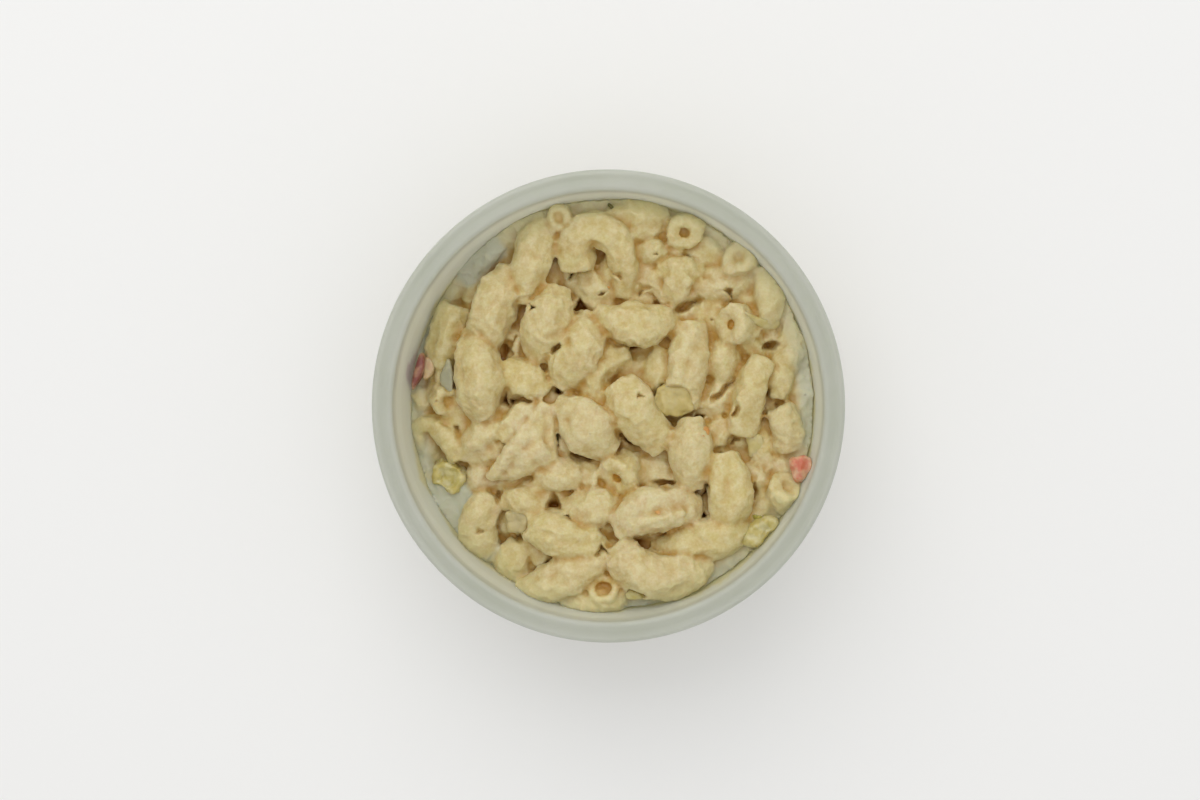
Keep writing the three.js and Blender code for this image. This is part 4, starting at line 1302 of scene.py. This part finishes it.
@dataclass(frozen=True)
class Bit:
    """A small piece of vegetable that lies in the salad's top.

    The outline is as it is seen in plan, in millimetres. The level is that of its upper side's middle. The
    slopes are the rise of that side to the right and up the picture.
    """

    name: str
    slot: str
    outline: tuple[tuple[float, float], ...]
    thick: float
    level: float
    slopes: tuple[float, float] = (0.0, 0.0)
    uneven: float = 0.3
    node: str | None = None
    dimple: float = 0.0
    resting: bool = False

    @property
    def middle(self) -> np.ndarray:
        """The middle of the outline, in plan."""
        return np.mean(np.array(self.outline, float), axis=0)

    def curve(self, count: int = 40) -> np.ndarray:
        """Points on a smooth closed curve through the outline, about its middle."""
        knots = np.array(self.outline, float) - self.middle
        total = len(knots)
        made = []
        for place in np.arange(count) * total / count:
            i = int(place)
            made.append(spline(*(knots[(i + k) % total] for k in (-1, 0, 1, 2)), place - i))
        return np.array(made)

    def holds(self, x: np.ndarray, y: np.ndarray, margin: float) -> np.ndarray:
        """How far inside the outline places in plan are, from 0 to 1, by bearing about its middle."""
        curve = self.curve(72)
        bearings = np.arctan2(curve[:, 1], curve[:, 0])
        order = np.argsort(bearings)
        reach = np.hypot(curve[:, 0], curve[:, 1])[order]
        dx = x - self.middle[0]
        dy = y - self.middle[1]
        edge = np.interp(np.arctan2(dy, dx), bearings[order], reach, period=2 * math.pi)
        return 1 - ease(np.hypot(dx, dy) / edge, 0.75 * margin, margin)

    def shape(self, mound: Mound) -> Shell:
        """A pillow over the outline, sloped and put in its place under the line of sight."""
        curve = self.curve()
        rows = [(0, -1), (0.7, -1), (0.92, -0.82), (1, -0.55), (0.98, -0.28), (0.9, -0.1), (0.72, 0),
                (0.45, 0.04 - 0.7 * self.dimple), (0.2, 0.05 - self.dimple), (0, 0.05 - self.dimple)]
        rings = []
        for share, height in rows:
            plan = share * curve
            rings.append(np.column_stack([plan, self.thick * height + plan @ np.array(self.slopes)]))
        return skin_of_rings(rings).moved(mound.under_sight(*self.middle, self.level))

    def rested(self, mound: Mound, points: np.ndarray, foot: float) -> "Bit":
        """The bit laid on a surface and tilted as the surface is.

        Args:
            mound: The levels of the salad's top.
            points: Points of the surface.
            foot: Level over which points count.

        Returns:
            The same bit with its new level and slopes.
        """
        x, y = mound.plan_of(points)
        under = (self.holds(x, y, 1.3) > 0.05) & (points[:, 2] > foot)
        rows = np.column_stack([np.ones(under.sum()), x[under] - self.middle[0], y[under] - self.middle[1]])
        level, *slopes = np.linalg.lstsq(rows, points[under, 2], rcond=None)[0]
        gentle = tuple(float(np.clip(slope, -STEEPEST, STEEPEST)) for slope in slopes)
        return replace(self, level=float(level) + 0.3 * self.thick, slopes=gentle)

    def build(self, mound: Mound, tub: TubSizes) -> MeshPiece:
        """Makes the piece, with an uneven skin, and keeps it inside the tub's wall."""
        piece = MeshPiece(self.name, self.shape(mound))
        piece.remesh(BIT_VOXEL)
        points = piece.points
        seed = Vector((*self.middle, 7.0))
        shift = np.array([self.uneven * (1.4 * noise.noise(Vector(p * 0.28) + seed)
                                         + 0.5 * noise.noise(Vector(p * 0.8))) for p in points])
        piece.points = piece.averaged(points + piece.normals * shift[:, None], 2, 0.5)
        tub.press_in(piece, BIT_CLEARANCE)
        return piece


def bits_of_vegetable() -> list[tuple[Bit, MoistFlesh]]:
    """The pieces of vegetable that show, each with its finish: the large ones first. One small olive flake
    among them is painted shade.
    """
    bright = MoistFlesh("bright_celery", srgb(206, 197, 146), srgb(194, 180, 108), patch=0.4)
    dull = MoistFlesh("dressed_celery", srgb(205, 192, 140), srgb(198, 184, 120), patch=0.3)
    # Olive celery colour, for the celery's end and for painted shade in the chunk's crevice.
    olive_skin_and_shade = MoistFlesh("celery_skin_and_shade", srgb(186, 176, 84), srgb(158, 148, 58), patch=0.5)
    grey = MoistFlesh("clear_celery", srgb(196, 181, 132), srgb(182, 168, 120), patch=0.3)
    pepper = MoistFlesh("red_pepper_flesh", srgb(213, 172, 138), srgb(204, 116, 88), patch=0.28)
    onion = MoistFlesh("red_onion_skin", srgb(142, 82, 74), srgb(198, 156, 126), patch=0.2)
    blush = MoistFlesh("onion_flesh_tone", srgb(208, 176, 138), srgb(206, 186, 140), patch=0.3)
    carrot = MoistFlesh("orange_speck", srgb(214, 160, 96), srgb(208, 146, 80))
    bluish = MoistFlesh("clear_skin", srgb(184, 180, 150), srgb(168, 166, 138), patch=0.3)
    disc = MoistFlesh("yellow_celery", srgb(198, 182, 124), srgb(190, 172, 106), patch=0.3)
    herb = MoistFlesh("dark_herb", srgb(118, 110, 50), srgb(96, 92, 38))
    return [
        (Bit("celery_right", "celery",
             ((32.1, -34.2), (33.9, -30.8), (36.1, -28.4), (39, -26.8), (42, -27.4), (42.2, -29.8),
              (39.8, -31.4), (38.4, -33.2), (35.3, -34.8)),
             5.5, 50.2, (0.1, 0.05), 0.8, "celery_chunk_right"), bright),
        (Bit("celery_left", "celery",
             ((-43.6, -15.4), (-41.4, -12.8), (-37.6, -13.8), (-34.9, -15.9), (-35.7, -20.2), (-39, -21.9),
              (-41.6, -20.2), (-43.9, -19)),
             5.5, 44.6, (0.15, 0), 0.9, "celery_chunk_left", 0.4), bright),
        (Bit("celery_middle", "celery",
             ((10.7, 1.3), (12, 4.3), (15.3, 6), (19, 5.6), (21.6, 3.2), (21.2, -0.4), (18.6, -2.4),
              (14.6, -2.2), (11.6, -0.6)),
             2.6, 50.4, (-0.04, 0.1), 0.9, "celery_slice_middle"), disc),
        (Bit("celery_far", "celery",
             ((33.6, 23.6), (36, 22.6), (39, 21.6), (42.4, 21.4), (42.6, 19.6), (39, 19.2), (36, 20.4),
              (33.6, 22.2)),
             1.3, 50.1, node="celery_strip_far", resting=True), dull),
        (Bit("celery_near", "celery",
             ((-24.4, -25.9), (-20.4, -26.1), (-19.2, -28.6), (-19.8, -31.4), (-22.2, -31.9), (-24.6, -31.3),
              (-25, -28.6)),
             2.4, 48, (0.1, 0.2), 0.8, "celery_bit_near"), grey),
        (Bit("pepper", "red_pepper",
             ((45, -12.2), (48.6, -12.4), (51, -14), (51.1, -16), (48.9, -17.8), (46.7, -18.3),
              (45.3, -15.6)),
             4.6, 52.6, (0.1, 0.05), 0.8, "red_pepper_dice"), pepper),
        (Bit("onion", "red_onion",
             ((-46.5, 13.4), (-45.1, 12.6), (-45.3, 9.3), (-46.7, 6.2), (-48.6, 3.9), (-48.5, 6.6),
              (-47.7, 10)),
             5, 46.4, (0.1, 0), 0.15, "red_onion_sliver"), onion),
        (Bit("onion_flesh", "red_onion",
             ((-45.4, 12.6), (-43.4, 12), (-42.5, 9.8), (-43.6, 7.4), (-45.8, 6.6), (-45.6, 9.4)),
             3, 45, (0.15, 0), 0.4), blush),
        (Bit("grey_bit", "celery",
             ((-39.2, 12.2), (-38, 8.2), (-38.1, 3.4), (-40, 3.4), (-41.4, 6.2), (-40.8, 9.8)),
             2, 46.6, (0.3, 0)), bluish),
        (Bit("pale_bit", "celery",
             ((34, -7.2), (37.6, -6.2), (38.9, -8.1), (38.4, -10.2), (36.9, -12.2), (34.9, -12.4),
              (34.6, -9.6)),
             1.6, 49.6, uneven=0.4, resting=True), dull),
        (Bit("near_bit", "celery", ((4.9, -44.9), (8.2, -45.9), (10.1, -46.9), (8.2, -47.7), (4.6, -47.4)),
             2.6, 50.6, (0, 0.1)), bright),
        (Bit("herb_speck", "celery", ((0, 50.1), (0.9, 50), (1.6, 49.2), (1.3, 48.7), (0.6, 49)),
             2, 50, uneven=0.1), herb),
        (Bit("celery_end", "celery",
             ((39.4, -27), (41.2, -26.8), (42.3, -28.4), (41.6, -30.1), (39.7, -29.6)),
             1, 50.5, uneven=0.2, resting=True), olive_skin_and_shade),
        # An olive flake laid in the celery chunk's crevice: painted shade.
        (Bit("celery_shade", "celery", ((35.6, -26.6), (37.6, -26.2), (38.4, -27.4), (37, -28.4)),
             0.9, 50.5, uneven=0.2, resting=True), olive_skin_and_shade),
        (Bit("speck_right", "red_pepper",
             ((23.2, -4.9), (24.9, -4.9), (25.4, -6.6), (24.2, -7.6), (23, -6.6)),
             1.6, 50.6, uneven=0.1, resting=True), carrot),
        (Bit("speck_near", "red_pepper", ((11.6, -25.6), (12.8, -25.4), (13.5, -26.1), (12.5, -26.7)),
             0.8, 51.6, uneven=0.1, resting=True), carrot),
        (Bit("speck_far", "red_pepper", ((-0.2, 29.8), (0.6, 29.8), (1, 29.3), (0.2, 29.1)),
             0.8, 48.4, uneven=0.1, resting=True), carrot),
    ]


@dataclass
class FrostedTub:
    """The tub: a thin turned shell with a stacking step, and a rim that is rolled over.

    Each mark on its wall has a bearing and a half width in degrees, and a height over the salad.
    """

    mound: Mound
    sizes: TubSizes
    sides: int = 288
    lip: float = 1.0
    bead_width: float = 2.3
    bead_drop: float = 1.35
    skirt_depth: float = 3.4
    wall_rings: int = 34
    smears: tuple[tuple[float, float, float], ...] = (
        (200, 9, 5.0), (226, 14, 6.0), (300, 16, 4.5), (322, 8, 4.0), (150, 14, 3.0), (60, 20, 2.0),
        (262, 14, 2.5))
    smear_foot: float = 0.8
    smear_strength: float = 0.75
    stains: tuple[tuple[float, float, float], ...] = ((170, 4.5, 9.0),)
    stain_strength: float = 0.5

    def outside(self) -> list[tuple[float, float]]:
        """The section from the middle of the underside out and up to the lower edge of the skirt."""
        s = self.sizes
        foot = s.foot_radius
        wall = float(s.inner_radius(s.step_level)) + s.wall
        mouth = s.mouth_radius + s.wall
        skirt = s.rim_radius - s.wall
        bead = s.height - self.bead_drop
        return [
            (0, 1.4), (foot - 5.4, 1.4), (foot - 4.6, 1.3), (foot - 3.5, 0.15), (foot - 3.3, 0),
            (foot - 0.9, 0), (foot - 0.25, 0.25),
            *((foot + share * (wall - 0.02 - foot), 0.9 + share * (s.step_level - 1.3))
              for share in np.linspace(0, 1, self.wall_rings)),
            (wall + 0.12, s.step_level), (mouth - 0.1, s.step_level + 1), (mouth, s.step_level + 1.4),
            (mouth, bead - 0.9), (skirt - 0.2, bead - 1), (skirt, bead - 1.3),
            (skirt, s.height - 1 - self.skirt_depth),
            (s.rim_radius - 0.6 * s.wall, s.height - 1.2 - self.skirt_depth),
            (s.rim_radius, s.height - 0.9 - self.skirt_depth),
        ]

    def profile(self) -> list[tuple[float, float]]:
        """The section, from the middle of the underside out, up, over the rim and back down inside."""
        s = self.sizes
        bead = self.bead_width / 2
        inside = s.rim_radius - self.bead_width
        lip = s.mouth_radius + self.lip
        step = float(s.inner_radius(s.step_level))
        corner = s.floor_level + s.corner
        return [
            *self.outside(),
            *arc_points(s.rim_radius - bead, s.height - self.bead_drop, bead, 0, 105, 10),
            (inside + 0.2, s.height - 0.42), (inside - 0.25, s.height - 0.44),
            (lip + 0.8, s.height - 0.16), (lip + 0.35, s.height - 0.03),
            *arc_points(lip, s.height - self.lip, self.lip, 90, 180, 9),
            (s.mouth_radius, s.step_level + 3), (s.mouth_radius - 0.06, s.step_level + 2.2),
            (step + 0.08, s.step_level), (step - 0.02, s.step_level - 0.6),
            *((float(s.inner_radius(level)), level)
              for level in np.linspace(s.step_level - 1.2, corner + 1, self.wall_rings)),
            *arc_points(float(s.inner_radius(corner)) - s.corner, corner, s.corner, 0, -90, 8),
            (0, s.floor_level),
        ]

    def marked(self, points: np.ndarray, marks: Sequence[tuple[float, float, float]],
               foot: float) -> np.ndarray:
        """How far points of the inner wall are inside uneven marks that rise from the salad.

        Args:
            points: The tub's points.
            marks: The marks.
            foot: Height over the salad up to which the whole wall is marked.

        Returns:
            A share from 0 to 1 for each point.
        """
        s = self.sizes
        x, y = points[:, 0], points[:, 1]
        over = self.mound.over(points)
        height = np.full(len(points), foot)
        for middle, half, rise in marks:
            height = np.maximum(height, rise * np.exp(-(off_bearing(x, y, middle) / half) ** 2))
        ragged = noise_at(points, 0.22) + 0.6 * noise_at(points, 0.6)
        inner = (np.hypot(x, y) < s.inner_radius(points[:, 2]) + 0.5 * s.wall) & (over > -6)
        return np.where(inner & (height > 0.2), ease(height + 1.8 * ragged - over, -0.8, 1.6), 0)

    def build(self) -> MeshPiece:
        """Turns the section, and marks where light is painted on the inner wall and where food lies on it."""
        s = self.sizes
        angles = circle(self.sides)
        piece = MeshPiece("frosted_tub", skin_of_rings([ring_at(angles, *place) for place in self.profile()]))
        points = piece.points
        level = points[:, 2]
        radius = np.hypot(points[:, 0], points[:, 1])
        within = radius < s.mouth_radius + 0.5 * s.wall
        # Painted light: the inner wall is lightened below the rim, most on the far side, as if lit through
        # the plastic from outside.
        far = 0.5 + 0.5 * points[:, 1] / np.maximum(radius, 1e-6)
        painted_wall_light = within * ease(s.height - level, 0.6, 3.0) * (0.55 + 0.45 * far) * ease(level, s.floor_level, 20)
        patchy = noise_at(points, 0.09) + 0.5 * noise_at(points, 0.24)
        outer = radius > s.inner_radius(level) + 0.1 * s.wall
        pressed = outer * ease(level, 1.0, 3.5) * ease(3 * patchy - self.mound.over(points), -0.5, 3.0)
        piece.keep(inside=painted_wall_light, filled=pressed * np.clip(0.6 + 0.7 * patchy, 0.1, 1),
                   smear=self.smear_strength * self.marked(points, self.smears, self.smear_foot),
                   stain=self.stain_strength * self.marked(points, self.stains, 0.0))
        return piece


@dataclass
class SaladBody:
    """The salad under the top: elbows pressed on the wall, seen through the frosted plastic."""

    mound: Mound
    tub: TubSizes
    top: float = 40.0
    top_drop: float = 3.0
    around: int = 420
    up: int = 64
    count: int = 120
    seed: int = 23
    recess: float = 2.0
    clearance: float = 0.08

    def relief(self, along: np.ndarray, level: float) -> np.ndarray:
        """Depth of the surface under the wall, from elbows laid on the unrolled wall by a seeded rule."""
        draw = np.random.default_rng(self.seed)
        turn = 2 * math.pi * self.tub.foot_radius
        depth = np.full(along.shape, self.recess)
        for _ in range(self.count):
            place = draw.uniform(0, turn), draw.uniform(2, self.top)
            heading = draw.uniform(0, math.pi)
            radius = draw.uniform(7, 10)
            arc = draw.uniform(1.0, 1.9)
            size = draw.uniform(3.6, 4.5)
            sunk = draw.uniform(0.0, 0.9)
            dx = (along - place[0] + turn / 2) % turn - turn / 2
            dy = level - place[1]
            x = dx * math.cos(heading) + dy * math.sin(heading)
            y = -dx * math.sin(heading) + dy * math.cos(heading) + radius
            angle = np.clip(np.arctan2(x, y), -arc / 2, arc / 2)
            away = np.hypot(x - radius * np.sin(angle), y - radius * np.cos(angle))
            hump = size - np.sqrt(np.maximum(size**2 - np.minimum(away, size) ** 2, 0))
            depth = np.minimum(depth, np.maximum(hump + sunk - 0.5, 0))
        return depth

    def build(self) -> MeshPiece:
        """Makes the side against the wall, the foot, and a closed top hidden in the salad."""
        s = self.tub
        angles = circle(self.around)
        foot = s.floor_level + s.gap
        corner = s.corner - s.gap
        middle = float(s.inner_radius(foot + corner)) - s.gap - corner
        turn = arc_points(middle, foot + corner, corner, -90, 0, 6)
        rings = [ring_at(angles, 0.0, foot)] + [ring_at(angles, radius, level) for radius, level in turn]
        for level in np.linspace(foot + corner + 0.6, self.top, self.up):
            fade = float(ease(level, foot + corner, foot + corner + 2))
            depth = self.relief(angles * s.foot_radius, level) * fade
            rings.append(ring_at(angles, float(s.inner_radius(level)) - self.clearance - depth, level))
        rings.append(rings[-1] * np.array([0.6, 0.6, 1]) - np.array([0, 0, self.top_drop]))
        rings.append(ring_at(angles, 0.0, self.top - self.top_drop))
        piece = MeshPiece("salad_body", skin_of_rings(rings))
        points = piece.points
        room = s.inner_radius(points[:, 2]) - np.hypot(points[:, 0], points[:, 1])
        # Painted shade in the recesses between the elbows, darker the farther the surface lies from the wall.
        piece.keep(tone=noise_at(points, 0.12), coat=np.full(len(points), 0.6),
                   crease=ease(room, 0.6, 2.2) * 0.8)
        unmarked = ("sunk", "depth", "bore", "ridge", "mist", "haze")
        piece.keep(**{name: np.zeros(len(points)) for name in unmarked})
        return piece


@dataclass
class Studio:
    """The pale floor, the soft lights and the camera."""

    mound: Mound
    sizes: TubSizes
    groups: Groups
    floor_half: float = 2500.0
    floor_drop: float = 0.02
    room: float = 0.7

    def floor(self) -> None:
        """Lays the sheet that the tub stands on."""
        corners = self.floor_half * np.array([[-1, -1, 0], [1, -1, 0], [1, 1, 0], [-1, 1, 0]])
        sheet = MeshPiece("pale_floor", Shell(corners, [(0, 1, 2, 3)]), smooth=False)
        sheet.object.location.z = -self.floor_drop * MM
        sheet.dress(PaleSheet().made(self.groups))

    def lamp(self, name: str, place: Vector, size: float, power: float, colour: Colour) -> None:
        """Hangs one square soft light that faces the salad.

        Args:
            name: Its name.
            place: Where it hangs, in metres.
            size: Its width, in metres.
            power: Its power, in watts.
            colour: Its colour.
        """
        light = bpy.data.lights.new(name, "AREA")
        light.shape = "SQUARE"
        light.size = size
        light.energy = power
        light.color = colour
        lamp = bpy.data.objects.new(name, light)
        lamp.location = place
        aim = Vector((0, 0, self.sizes.height * MM)) - place
        lamp.rotation_euler = aim.to_track_quat("-Z", "Y").to_euler()
        bpy.context.scene.collection.objects.link(lamp)

    def lights(self) -> None:
        """Soft light from above and from the far side, and a bright even room."""
        self.lamp("far_light", Vector((-0.15, 0.75, 0.95)), 1.0, 4.3, (1.0, 0.985, 0.95))
        self.lamp("top_light", Vector((0.1, 0.0, 1.4)), 1.4, 2.8, (1.0, 1.0, 1.0))
        world = bpy.data.worlds.new("even_room")
        world.use_nodes = True
        background = world.node_tree.nodes["Background"]
        background.inputs["Color"].default_value = (1.0, 1.0, 1.0, 1.0)
        background.inputs["Strength"].default_value = self.room
        bpy.context.scene.world = world

    def camera(self) -> None:
        """Sets the camera where the photograph was taken from, almost straight above."""
        camera = bpy.data.cameras.new("camera")
        camera.lens = 50
        camera.sensor_width = 36
        camera.clip_start = 0.01
        holder = bpy.data.objects.new("camera", camera)
        eye = Vector((*self.mound.eye, self.sizes.height + self.mound.eye_height)) * MM
        pixel = self.mound.eye_height / (camera.lens / camera.sensor_width * PICTURE_WIDTH)
        aim = Vector((-RIM_RIGHT_OF_MIDDLE * pixel, RIM_BELOW_MIDDLE * pixel, self.sizes.height)) * MM
        back = (eye - aim).normalized()
        side = Vector((0, 1, 0)).cross(back).normalized()
        turn = Matrix((side, back.cross(side), back)).transposed()
        holder.matrix_world = Matrix.Translation(eye) @ turn.to_4x4()
        bpy.context.scene.collection.objects.link(holder)
        bpy.context.scene.camera = holder

    def build(self) -> None:
        """Sets up everything round the tub."""
        self.floor()
        self.lights()
        self.camera()
        bpy.context.scene.view_settings.view_transform = "Standard"


def main() -> None:
    """Loads the frame, builds the tub of salad around it and sets up the studio."""
    logging.basicConfig(level=logging.INFO, format="%(name)s: %(message)s")
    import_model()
    sizes = TubSizes.from_frame()
    mound = Mound(sizes)
    groups = Groups()
    pasta = DressedPasta().made(groups)

    tub = FrostedTub(mound, sizes).build()
    tub.dress(FrostedPlastic().made(groups))
    tub.join_frame("frosted_plastic", "tub")

    bits = bits_of_vegetable()
    heap = MacaroniTop(mound, sizes, bits=[bit for bit, _ in bits if not bit.resting])
    top = heap.build()
    for piece in (top, SaladBody(mound, sizes).build()):
        piece.dress(pasta)
        piece.join_frame("dressed_macaroni", "macaroni_heap")

    flesh: dict[str, bpy.types.Material] = {}
    for bit, finish in bits:
        if finish.name not in flesh:
            flesh[finish.name] = finish.made(groups)
        laid = bit.rested(mound, top.points, heap.bed_foot + 2) if bit.resting else bit
        piece = laid.build(mound, sizes)
        piece.dress(flesh[finish.name])
        piece.join_frame(bit.slot, *([bit.node] if bit.node else []))

    Studio(mound, sizes, groups).build()


if __name__ == "__main__":
    main()
